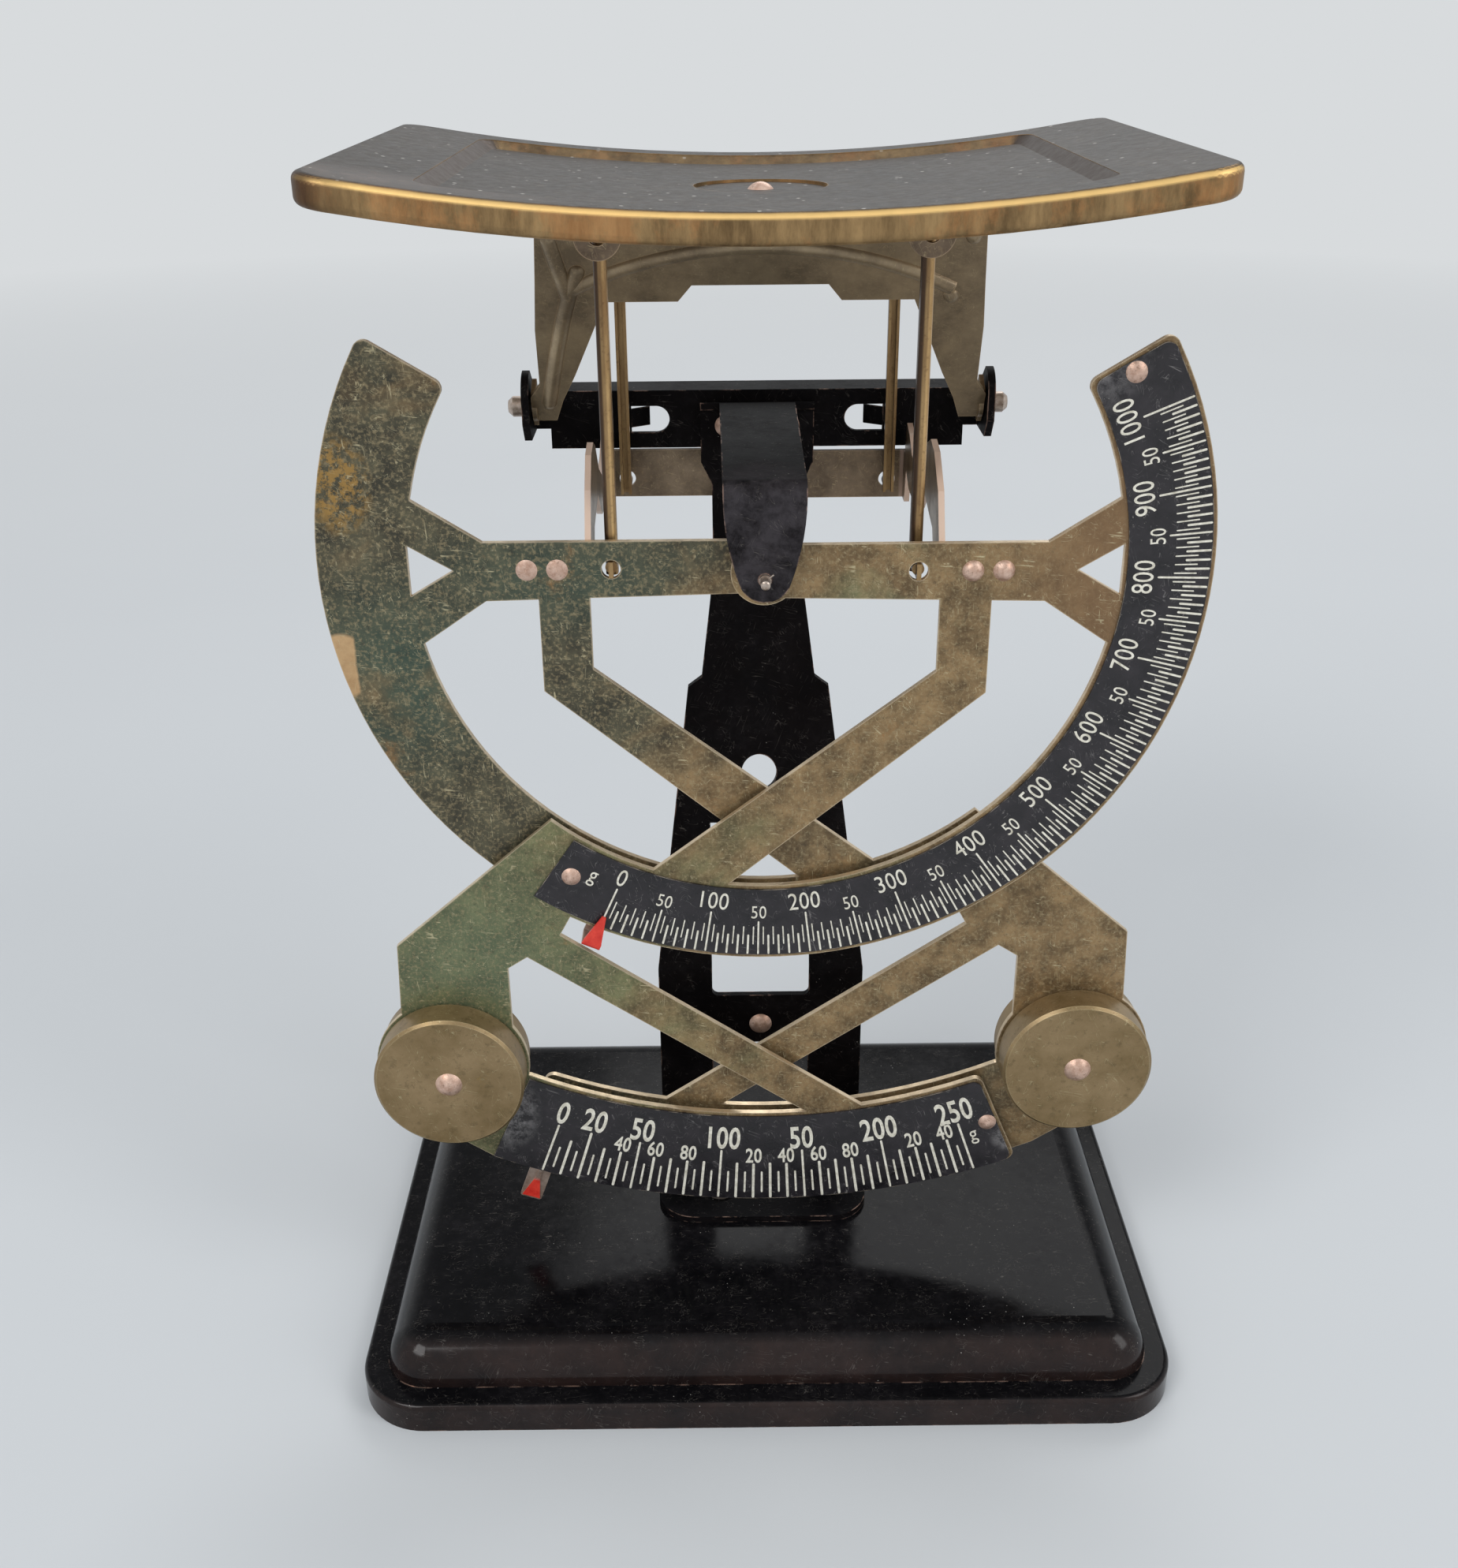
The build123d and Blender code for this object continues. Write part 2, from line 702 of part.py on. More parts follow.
# Scale labels on the front plate's bands
label_y = front_plate_y - label_sheet
with BuildPart() as upper_scale:
    with BuildSketch(upright(label_y)):
        add(
            band(
                upper_inner + label_margin, upper_outer - label_margin, upper_label_start,
                upper_end - 0.5,
            )
        )
        with Locations(*label_holes()[0:2]):
            Circle(label_rivet + press_clearance, mode=Mode.SUBTRACT)
    extrude(amount=-label_sheet)
finish(upper_scale, "upper_scale")

with BuildPart() as lower_scale:
    with BuildSketch(upright(label_y)):
        add(
            band(
                lower_inner + label_margin, lower_outer - label_margin / 4,
                lower_label_start, lower_end - 0.3,
            )
        )
        with Locations((weight_x, weight_z)):
            Circle(weight_disc + side_clearance, mode=Mode.SUBTRACT)
        with Locations(label_holes()[2]):
            Circle(label_rivet + press_clearance, mode=Mode.SUBTRACT)
    extrude(amount=-label_sheet)
finish(lower_scale, "lower_scale")

with BuildPart() as scale_rivets:
    for x, z in label_holes():
        add(
            rivet(
                x, z + pivot_height, label_y, front_plate_y + plate_sheet, 2.0, 0.8,
                label_rivet, 0.4,
            )
        )
finish(scale_rivets, "scale_rivets")


def bracket(side, tab_y, arm_y):
    """Side bracket: tab on the plate, web running back, arm to the axle behind."""
    back = arm_y + bracket_sheet
    sheet = bracket_sheet
    rim = [
        (tab_y, 5.5), (tab_y + 4.6, 14.0), (-10.0, 19.5), (-4.0, 20.5), (1.0, 18.5),
        (8.0, 12.0), (16.0, 8.5), (26.0, 9.5), (32.0, 12.5), (37.4, 13.8), (39.4, 10.5),
        (head_y - 0.9, arm_half + arm_rise), (back, arm_half + arm_rise),
        (back, arm_rise - arm_half), (38.0, arm_rise - arm_half), (36.0, 3.5), (30.0, 1.0),
        (20.0, 0.5), (13.0, 1.0), (10.0, 2.5), (3.0, 8.0), (tab_y + 10.6, 5.0),
        (tab_y + 6.6, -1.0), (tab_y + 5.6, -tab_half), (tab_y, -tab_half),
    ]
    web_face = web_x if side > 0 else -web_x - sheet
    with BuildPart() as piece:
        with BuildSketch(
            Plane(origin=(web_face, 0, pivot_height), x_dir=(0, 1, 0), z_dir=(1, 0, 0))
        ):
            Polygon(*rim, align=None)
        extrude(amount=sheet)
        with BuildSketch(upright(tab_y)):
            with Locations((side * (web_x + tab_end) / 2, 0)):
                Rectangle(tab_end - web_x, 2 * tab_half)
            with Locations(*[(side * x, 0) for x in tab_rivets]):
                Circle(label_rivet + press_clearance, mode=Mode.SUBTRACT)
        extrude(amount=-sheet)
        outer_edges = piece.edges().filter_by(Axis.Y).filter_by_position(
            Axis.X, min(side * tab_end - 0.1, side * tab_end + 0.1),
            max(side * tab_end - 0.1, side * tab_end + 0.1),
        )
        fillet(outer_edges, radius=1.5)
        with BuildSketch(upright(arm_y)):
            with Locations((side * (web_x + sheet) / 2, arm_rise)):
                Rectangle(web_x + sheet, 2 * arm_half)
            Circle(hub)
            Circle(axle / 2 + run_clearance, mode=Mode.SUBTRACT)
            with Locations((side * load_arm, 0)):
                Circle(load_hole / 2, mode=Mode.SUBTRACT)
        extrude(amount=-sheet)
    return piece


right_tab_y = front_plate_y + plate_sheet
left_tab_y = rear_plate_y + plate_sheet
right_bracket = bracket(1, right_tab_y, right_arm_y)
finish(right_bracket, "right_bracket")
left_bracket = bracket(-1, left_tab_y, left_arm_y)
finish(left_bracket, "left_bracket")


def bracket_rivets(side, plate_y, head_rise, tail):
    """Pair of rivets through a plate's beam and the bracket's tab."""
    with BuildPart() as pair:
        for x in tab_rivets:
            add(
                rivet(
                    side * x, pivot_height, plate_y, plate_y + plate_sheet + bracket_sheet,
                    2.1, head_rise, label_rivet, tail,
                )
            )
    return pair


right_bracket_rivets = bracket_rivets(1, front_plate_y, 1.2, 0.3)
finish(right_bracket_rivets, "right_bracket_rivets")
left_bracket_rivets = bracket_rivets(-1, rear_plate_y, 0.5, 1.0)
finish(left_bracket_rivets, "left_bracket_rivets")


def disc(side, start, thickness):
    """Brass weight disc at the plate's round end, seen from side -1 or 1."""
    with BuildPart() as piece:
        with BuildSketch(upright(start)):
            with Locations((side * weight_x, weight_z)):
                Circle(weight_disc)
                Circle(weight_rivet * 0.6 + press_clearance, mode=Mode.SUBTRACT)
        extrude(amount=-thickness)
        rims = piece.edges().filter_by(GeomType.CIRCLE).sort_by(SortBy.RADIUS)[-2:]
        chamfer(rims, length=weight_edge)
    return piece


def disc_rivet(side, start, end):
    """Domed rivet through both discs and the plate."""
    with BuildPart() as piece:
        add(
            rivet(
                side * weight_x, weight_z + pivot_height, start, end, weight_rivet, 1.5,
                weight_rivet * 0.6, 1.0,
            )
        )
    return piece


# Weights: the front plate's hangs on the left, the rear plate's on the right
for side, word, plate_y in ((1, "left", front_plate_y), (-1, "right", rear_plate_y)):
    back = plate_y + plate_sheet
    finish(disc(side, plate_y - weight_front, weight_front), f"{word}_weight_front")
    finish(disc(side, back, weight_rear), f"{word}_weight_rear")
    finish(disc_rivet(side, plate_y - weight_front, back + weight_rear), f"{word}_weight_rivet")

# Upper pointer: a strip behind the rear plate that hooks forward round the band
pointer_tip_y = label_y - pointer_front_gap - pointer_sheet
pointer_axis = Plane(
    origin=(0, 0, pivot_height),
    x_dir=(sin(radians(upper_pointer_angle)), 0, -cos(radians(upper_pointer_angle))),
    z_dir=(cos(radians(upper_pointer_angle)), 0, sin(radians(upper_pointer_angle))),
)
with BuildPart() as upper_pointer:
    with BuildSketch(pointer_axis):
        with BuildLine():
            FilletPolyline(
                (upper_label_circle - pointer_foot / 3, rear_plate_back),
                (upper_pointer_reach - pointer_sheet, rear_plate_back),
                (upper_pointer_reach - pointer_sheet, pointer_tip_y + pointer_sheet),
                (upper_pointer_tip, pointer_tip_y + pointer_sheet), radius=0.4,
            )
            offset(amount=pointer_sheet, side=Side.LEFT)
        make_face()
    extrude(amount=upper_pointer_width / 2, both=True)
    with BuildSketch(Plane(origin=(0, pointer_tip_y - 1, pivot_height), x_dir=(1, 0, 0), z_dir=(0, -1, 0))):
        half_turn = degrees(upper_pointer_width / 2 / upper_pointer_reach)
        for way in (-1, 1):
            edge = upper_pointer_angle + way * half_turn
            Polygon(
                polar(upper_pointer_tip - 1, upper_pointer_angle + way * 0.15),
                polar(upper_pointer_reach - 1.6, edge), polar(upper_pointer_reach - 1.6, edge + way * 2),
                polar(upper_pointer_tip - 1, edge + way * 2), align=None,
            )
    extrude(amount=-(pointer_sheet + 1.2), mode=Mode.SUBTRACT)
    with Locations(
        Location(
            (upper_pointer_rivet[0], rear_plate_back, upper_pointer_rivet[1] + pivot_height),
            (90, 0, 0),
        )
    ):
        Hole(label_rivet + press_clearance)
finish(upper_pointer, "upper_pointer")

# Lower pointer: a flat strip on the rear plate, with a raised arrow at its end
with BuildPart() as lower_pointer:
    strip_angle = Location((0, 0), lower_pointer_angle)
    strip_start = lower_label_circle - pointer_foot / 3
    strip_length = lower_pointer_reach - strip_start
    with BuildSketch(upright(rear_plate_y - pointer_sheet)):
        with Locations(strip_angle):
            with Locations((0, -(strip_start + strip_length / 2))):
                RectangleRounded(lower_pointer_width, strip_length, 0.6)
        with Locations(lower_pointer_rivet):
            Circle(label_rivet + press_clearance, mode=Mode.SUBTRACT)
    extrude(amount=-pointer_sheet)
    with BuildSketch(upright(rear_plate_y - pointer_sheet - 0.35)):
        with Locations(strip_angle):
            Polygon(
                (-0.4, -lower_outer), (0.4, -lower_outer), (0.6, -lower_pointer_reach + 6),
                (2.1, -lower_pointer_reach + 0.6), (-2.1, -lower_pointer_reach + 0.6),
                (-0.6, -lower_pointer_reach + 6), align=None,
            )
    extrude(amount=-0.35)
finish(lower_pointer, "lower_pointer")

with BuildPart() as pointer_rivets:
    add(
        rivet(
            upper_pointer_rivet[0], upper_pointer_rivet[1] + pivot_height, rear_plate_y,
            rear_plate_back + pointer_sheet, 1.9, 0.5, label_rivet, 0.6,
        )
    )
    add(
        rivet(
            lower_pointer_rivet[0], lower_pointer_rivet[1] + pivot_height,
            rear_plate_y - pointer_sheet, rear_plate_back, 1.9, 0.5, label_rivet, 0.6,
        )
    )
finish(pointer_rivets, "pointer_rivets")


def strut(side, channel_y, web_front, load_end, lug_end):
    """Folded strip, open on one side, with a knife at its foot and one at its head."""
    x = side * load_arm
    low = pivot_height - strut_end
    high = pivot_height + strut_length + strut_top
    web_y = channel_y if web_front else channel_y + strut_depth
    way = 1 if web_front else -1
    inner = web_y + way * strut_wall
    open_side = web_y + way * (strut_depth + 1)
    with BuildPart() as piece:
        with BuildSketch(Plane.XY.offset(low)):
            with Locations((x, channel_y + strut_depth / 2)):
                Rectangle(strut_width, strut_depth)
            fold = [corner for corner in vertices() if abs(corner.Y - web_y) < strut_wall / 2]
            fillet(fold, radius=strut_fold)
            with Locations((x, (inner + open_side) / 2)):
                Rectangle(
                    strut_width - 2 * strut_wall, abs(open_side - inner), mode=Mode.SUBTRACT
                )
        extrude(amount=high - low)
        # Round neck up to the plate or arm, and the knife that rests in its hole
        neck_end = load_end + way * (pin_proud + plate_sheet + side_clearance)
        with BuildSketch(facing(inner)):
            with Locations((x, pivot_height)):
                Circle(load_neck)
        extrude(amount=inner - neck_end)
        for height, end, hole in (
            (pivot_height, load_end, load_hole / 2), (pivot_height + strut_length, lug_end, lug_hole)
        ):
            with BuildSketch(facing(inner)):
                with Locations((x, height)):
                    Rectangle(knife, 2 * (hole - 2 * side_clearance))
            extrude(amount=inner - end)
    return piece


# Struts: front pair behind the plates, rear pair in front of the arms
rear_channel_back = strut_rear_y + strut_depth
lug_front_back = lug_front_y + carrier_sheet
struts = (
    ("right_front_strut", 1, strut_front_y, True, front_plate_y - pin_proud, lug_front_back + lug_gap),
    ("left_front_strut", -1, strut_front_y, True, rear_plate_y - pin_proud, lug_front_back + lug_gap),
    ("right_rear_strut", 1, strut_rear_y, False, right_arm_y + bracket_sheet + pin_proud,
     lug_rear_y - carrier_sheet - lug_gap),
    ("left_rear_strut", -1, strut_rear_y, False, left_arm_back + pin_proud,
     lug_rear_y - carrier_sheet - lug_gap),
)
for name, side, channel_y, web_front, load_end, lug_end in struts:
    finish(strut(side, channel_y, web_front, load_end, lug_end), name)


# Pan: a dished sheet with a flange, a stepped floor and a round cup at the centre
pan_centre_y = (pan_front_y + pan_rear_y) / 2
pan_depth = pan_rear_y - pan_front_y


def dished(inset, corner, top, bottom):
    """Slab between two copies of the pan's dished surface, lowered by top and bottom."""
    half = pan_length / 2
    with BuildPart() as slab:
        with BuildSketch(facing(pan_rear_y)):
            with BuildLine():
                for drop in (top, bottom):
                    ThreePointArc(
                        (-half, pan_middle + pan_rise - drop), (0, pan_middle - drop),
                        (half, pan_middle + pan_rise - drop),
                    )
                Line((-half, pan_middle + pan_rise - top), (-half, pan_middle + pan_rise - bottom))
                Line((half, pan_middle + pan_rise - top), (half, pan_middle + pan_rise - bottom))
            make_face()
        extrude(amount=pan_depth)
        with BuildSketch(Plane.XY.offset(pan_middle - 40)):
            with Locations((0, pan_centre_y)):
                RectangleRounded(pan_length - 2 * inset[0], pan_depth - 2 * inset[1], corner)
        extrude(amount=80, mode=Mode.INTERSECT)
    return slab


recess_inset = ((pan_length - recess_length) / 2, recess_margin)
wall_inset = tuple(value - pan_sheet for value in recess_inset)
cup_top = pan_middle - recess_depth - cup_depth
cup_bottom = cup_top - pan_sheet
with BuildPart() as pan:
    add(dished((0, 0), pan_corner, 0, pan_flange).part)
    top_edges = pan.faces().sort_by(Axis.Z)[-1].outer_wire().edges()
    fillet(top_edges, radius=pan_edge)
    add(
        dished((pan_sheet, pan_sheet), pan_corner - pan_sheet, pan_sheet, pan_flange + 1).part,
        mode=Mode.SUBTRACT,
    )
    add(
        dished(recess_inset, recess_corner, -1, pan_flange).part, mode=Mode.SUBTRACT
    )
    add(dished(wall_inset, recess_corner + pan_sheet, 0, recess_depth + pan_sheet).part)
    with BuildPart() as hollow:
        add(dished(recess_inset, recess_corner, -1, recess_depth).part)
        floor = hollow.faces().sort_by(Axis.Z)[0]
        chamfer(floor.edges(), length=recess_slope, length2=recess_depth - 0.1, reference=floor)
    add(hollow.part, mode=Mode.SUBTRACT)
    with BuildSketch(Plane.XY.offset(cup_bottom)):
        with Locations((0, pan_centre_y)):
            Circle(cup_radius + pan_sheet)
    extrude(amount=cup_depth + pan_sheet)
    with BuildSketch(Plane.XY.offset(cup_top)):
        with Locations((0, pan_centre_y)):
            Circle(cup_radius)
    extrude(amount=pan_sheet + 2, mode=Mode.SUBTRACT)
    with Locations((0, pan_centre_y, cup_top)):
        Hole(label_rivet + press_clearance, depth=pan_sheet)
finish(pan, "pan")

# Carrier: a flat sheet under the pan with four lugs turned down
carrier_bottom = cup_bottom - carrier_sheet
lug_height = pivot_height + strut_length
with BuildPart() as pan_carrier:
    with BuildSketch(Plane.XY.offset(carrier_bottom)):
        with Locations((0, (lug_front_y + lug_rear_y) / 2)):
            Rectangle(2 * carrier_half, lug_rear_y - lug_front_y)
        with Locations((0, pan_centre_y)):
            Circle(label_rivet + press_clearance, mode=Mode.SUBTRACT)
    extrude(amount=carrier_sheet)
    for face_y in (lug_front_y, lug_rear_y - carrier_sheet):
        with BuildSketch(facing(face_y)):
            for side in (-1, 1):
                with Locations((side * load_arm, lug_height)):
                    Circle(lug_radius)
                with Locations((side * load_arm, (lug_height + cup_bottom) / 2)):
                    Rectangle(2 * lug_radius, cup_bottom - lug_height)
                with Locations((side * load_arm, lug_height)):
                    Circle(lug_hole, mode=Mode.SUBTRACT)
        extrude(amount=-carrier_sheet)
finish(pan_carrier, "pan_carrier")

arc_radius, arc_height = dome(pan_rivet_head, pan_rivet_rise)
with BuildPart() as pan_rivet:
    with BuildSketch(Plane(origin=(0, pan_centre_y, 0), x_dir=(1, 0, 0), z_dir=(0, -1, 0))):
        with BuildLine():
            Polyline(
                (0, carrier_bottom - 0.8), (1.9, carrier_bottom - 0.8), (2.1, carrier_bottom),
                (label_rivet, carrier_bottom), (label_rivet, cup_top), (pan_rivet_head, cup_top),
            )
            ThreePointArc(
                (pan_rivet_head, cup_top), (arc_radius, cup_top + arc_height),
                (0, cup_top + pan_rivet_rise),
            )
            Line((0, cup_top + pan_rivet_rise), (0, carrier_bottom - 0.8))
        make_face()
    revolve(axis=Axis((0, pan_centre_y, 0), (0, 0, 1)))
finish(pan_rivet, "pan_rivet")

# Guide yoke: embossed sheet leaning forward from the hinge, open at its upper edge
lean = radians(yoke_lean)
yoke_up = (0, -cos(lean), sin(lean))
yoke_front = (0, -sin(lean), -cos(lean))
yoke_origin = (0, hinge_y - yoke_offset * sin(lean), hinge_height - yoke_offset * cos(lean))
yoke_plane = Plane(origin=yoke_origin, x_dir=(1, 0, 0), z_dir=yoke_front)
with BuildPart() as guide_yoke:
    with BuildSketch(yoke_plane):
        with BuildLine():
            Polyline(
                (0, yoke_top), (yoke_outer - 3.0, yoke_top), (yoke_outer - 1.8, yoke_top - 13.0),
                (yoke_outer - 0.6, yoke_top - 25.0), (yoke_outer, 8.5),
                (yoke_foot, 5.0), (yoke_foot, -1.8), (43.6, -1.8), (41.8, 4.0), (38.6, 11.4),
                (33.9, 23.7), (31.0, 31.2), (16.4, 31.2), (13.6, 35.3), (0, 35.3),
            )
            Line((0, 35.3), (0, yoke_top))
        make_face()
        with Locations((26.9, 47.2)):
            Rectangle(3.6, 2.4, mode=Mode.SUBTRACT)
        mirror(about=Plane.YZ)
    extrude(amount=-yoke_sheet)
    # Embossed ribs, round on the front: a Y on each leg and an arch between them
    rib_radius = (yoke_rib_height ** 2 + (yoke_rib / 2) ** 2) / (2 * yoke_rib_height)
    rib_plane = yoke_plane.offset(yoke_rib_height - rib_radius)
    with BuildPart() as ribs:
        for side in (-1, 1):
            with BuildLine(rib_plane) as leg_rib:
                Spline(
                    (side * 44.8, 3.4), (side * 41.8, 18.0), (side * 38.0, 33.0), (side * 36.0, 39.0)
                )
            with BuildLine(rib_plane) as upper_rib:
                Line((side * 38.2, 32.0), (side * 41.0, 46.6))
            for rib in (leg_rib, upper_rib):
                with BuildSketch(Plane(origin=rib.line @ 0, z_dir=rib.line % 0)):
                    Circle(rib_radius)
                sweep(path=rib.line)
                for end in (rib.line @ 0, rib.line @ 1):
                    with Locations(end):
                        Sphere(rib_radius)
        with BuildLine(rib_plane) as arch:
            ThreePointArc((-38.2, 34.0), (0, 44.6), (38.2, 34.0))
        with BuildSketch(Plane(origin=arch.line @ 0, z_dir=arch.line % 0)):
            Circle(rib_radius)
        sweep(path=arch.line)
        with BuildSketch(yoke_plane.offset(-yoke_sheet / 2)):
            Rectangle(4 * yoke_foot, 4 * yoke_top)
        extrude(amount=-4 * yoke_rib, mode=Mode.SUBTRACT)
    add(ribs.part)
    for side in (-1, 1):
        tab_face = yoke_foot - yoke_sheet if side > 0 else -yoke_foot
        with BuildSketch(
            Plane(origin=(tab_face, hinge_y, hinge_height), x_dir=yoke_up, z_dir=(1, 0, 0))
        ):
            Circle(yoke_tab)
            with Locations(((5.0 - yoke_tab) / 2, (yoke_offset - yoke_tab) / 2)):
                Rectangle(5.0 + yoke_tab, yoke_offset + yoke_tab)
            Circle(hinge_pin / 2 + run_clearance, mode=Mode.SUBTRACT)
        extrude(amount=yoke_sheet)
finish(guide_yoke, "guide_yoke")
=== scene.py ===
"""Looks of a two-range pendulum letter scale: finishes, dial figures, light and camera."""
import json
import math

import bmesh
import bpy
from mathutils import Matrix, Vector


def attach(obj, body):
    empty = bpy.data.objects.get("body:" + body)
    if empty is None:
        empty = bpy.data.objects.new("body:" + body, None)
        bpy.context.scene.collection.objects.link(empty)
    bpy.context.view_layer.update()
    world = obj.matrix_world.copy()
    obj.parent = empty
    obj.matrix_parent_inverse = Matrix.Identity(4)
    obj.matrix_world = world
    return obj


MM = 0.001
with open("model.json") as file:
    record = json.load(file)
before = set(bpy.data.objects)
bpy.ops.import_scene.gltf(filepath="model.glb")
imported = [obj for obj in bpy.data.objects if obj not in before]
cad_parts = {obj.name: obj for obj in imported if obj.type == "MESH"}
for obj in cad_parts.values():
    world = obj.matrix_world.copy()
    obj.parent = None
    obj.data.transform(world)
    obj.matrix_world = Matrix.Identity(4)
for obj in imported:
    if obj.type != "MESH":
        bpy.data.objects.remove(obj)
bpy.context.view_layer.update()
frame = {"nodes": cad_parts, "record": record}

# The dials, in millimetres and grams, and in degrees about the pivot from straight down
PIVOT = 180.0
LABEL_FRONT = -24.4
UPPER_ZERO = -24.1
LOWER_ZERO = -19.6
UPPER_RANGE = 1000
LOWER_RANGE = 250
LINE_STEP = 5
UPPER_FIGURE_STEP = 50
LOWER_FIGURE_STEP = 10

# Degrees by which plate and pointer part: so many per kilo, less so many per kilo squared
SWEEP = 158.0
SWEEP_LOSS = 21.0

# Lines: the first step in grams that fits, then inner radius, outer radius and width
UPPER_LINES = (
    (100, (75.2, 85.0, 0.38)), (50, (76.9, 85.0, 0.36)),
    (10, (80.2, 85.0, 0.42)), (5, (78.2, 82.6, 0.26)),
)
LOWER_LINES = (
    (50, (137.6, 151.1, 0.5)), (20, (141.2, 151.1, 0.6)),
    (10, (141.0, 151.1, 0.6)), (5, (143.5, 149.5, 0.45)),
)
LOWER_FIRST_LINE = (137.6, 151.1, 0.6)
LINE_END_STEPS = 5

# Figures: radius, height, boldness and narrowing
UPPER_LARGE = (72.7, 4.0, 0.0, 0.78)
UPPER_SMALL = (74.9, 3.0, 0.0, 0.78)
UPPER_UNIT = (74.4, 3.6, 0.0, 0.78)
LOWER_LARGE = (134.5, 5.9, 0.025, 0.64)
LOWER_SMALL = (139.2, 3.9, 0.025, 0.66)
LOWER_UNIT = (141.6, 3.8, 0.0, 0.78)
UPPER_UNIT_BEFORE = 4.4
LOWER_UNIT_AFTER = 1.0
LOWER_FIRST = 20
FIGURE_DEPTH = 0.05
FIGURE_SPACING = 1.04
FIGURE_RESOLUTION = 4
CAPITAL_SHARE = 0.7

# Places of wear: centre in millimetres, radius of the full effect, radius of its end, squash
TONGUE_RUB = ((0, -27.5, 188), 11.0, 15.0, (1, 0.6, 1))
REAR_BAND_TEAL = ((-72, -21, 158), 6.0, 26.0)
REAR_BEAM_TEAL = ((-40, -21, 178), 8.0, 34.0, (1, 1, 2.4))
REAR_AMBER = ((-80.5, -21, 197), 4.5, 8.0, (1.1, 1, 0.75))
REAR_BARE = ((-83.2, -21, 160.6), 5.3, 6.0, (1.0, 1, 0.85))
FRONT_BEAM_TEAL = ((38, -24, 168), 8.0, 30.0, (1, 1, 0.8))
FRONT_ARM_TEAL = ((-62, -24, 90), 8.0, 34.0, (1, 1, 0.8))
FRONT_FORK_BROWN = ((72, -24, 180), 10.0, 30.0, (1, 1, 0.6))
DIAL_LEFT_RUB = ((-57.5, LABEL_FRONT, 55.0), 3.0, 9.5, (1.2, 1, 0.8))
DIAL_RIGHT_RUB = ((56.0, LABEL_FRONT, 46.0), 1.0, 5.0)
DIAL_TOP_RUB = ((60.0, LABEL_FRONT, 222.0), 3.0, 11.0, (1.0, 1, 0.8))
PAN_RUB = ((-66, -38, 254), 2.0, 26.0, (0.7, 1.9, 1.0))
PAN_CORNER = ((-79.0, -42, 251), 6.0, 14.0)

# Where masks begin and end, in metres
REAR_BARE_SIDE = (-0.0803, -0.0808)
WEB_INNER = (0.0322, 0.0326)
WEB_OUTER = (0.0352, 0.0348)
PAN_FRONT = (-0.030, -0.032)
UPPER_TIP_FACE = (-0.02432, -0.02442)
LOWER_TIP_FACE = (-0.02172, -0.02182)
LOWER_TIP_REACH = (0.1556, 0.1566)

# Nodes that finishes share, and the shaders of lacquer and pan
ROUGHNESS_OF_NOISE = 0.55
EDGE_SAMPLES = 6
EDGE_BEND = (0.985, 0.75)
SCRATCH_GATE = (330, 2, 0.55, 0.62)
MIX_FIRST, MIX_SECOND = 6, 7
BUMP_DISTANCE = 0.0002
LACQUER_IOR = 1.3
PAN_SPECULAR = 0.1

# Floor, backdrop and light, in metres and watts, with the fade in millimetres
PALE = (216, 219, 221)
FLOOR_TONES = ((204, 207, 210), (212, 215, 217))
FLOOR_REACH = 12
FLOOR_FADE = ((0, 0, 0), 1800, 300)
WORLD_LIGHT = 0.55
WORLD_TINT = (0.92, 0.96, 1.0, 1)
LAMP_TARGET = (0, 0, 0.13)
LAMPS = (
    ("key", (-0.75, -0.9, 1.2), (0.7, 0.7), 9),
    ("fill", (1.0, -0.6, 0.9), (0.5, 0.9), 5),
    ("back", (0.3, 1.1, 1.1), (1.0, 0.4), 5),
)

# The camera, found from the photograph: millimetres, degrees and pixels, clip in metres
CAMERA_PLACE = (-8.0, -320.2, 279.5)
CAMERA_PITCH = 25.964
CAMERA_YAW = 0.163
CAMERA_ROLL = -0.518
FOCAL_PIXELS = 2057.2
FRAME_HEIGHT = 1988
SENSOR = 36.0
CLIP_START = 0.01


def srgb(red, green, blue):
    """Linear colour from 0-255 screen values."""
    return tuple(
        (value / 255 / 12.92) if value < 10.3 else ((value / 255 + 0.055) / 1.055) ** 2.4
        for value in (red, green, blue)
    ) + (1.0,)


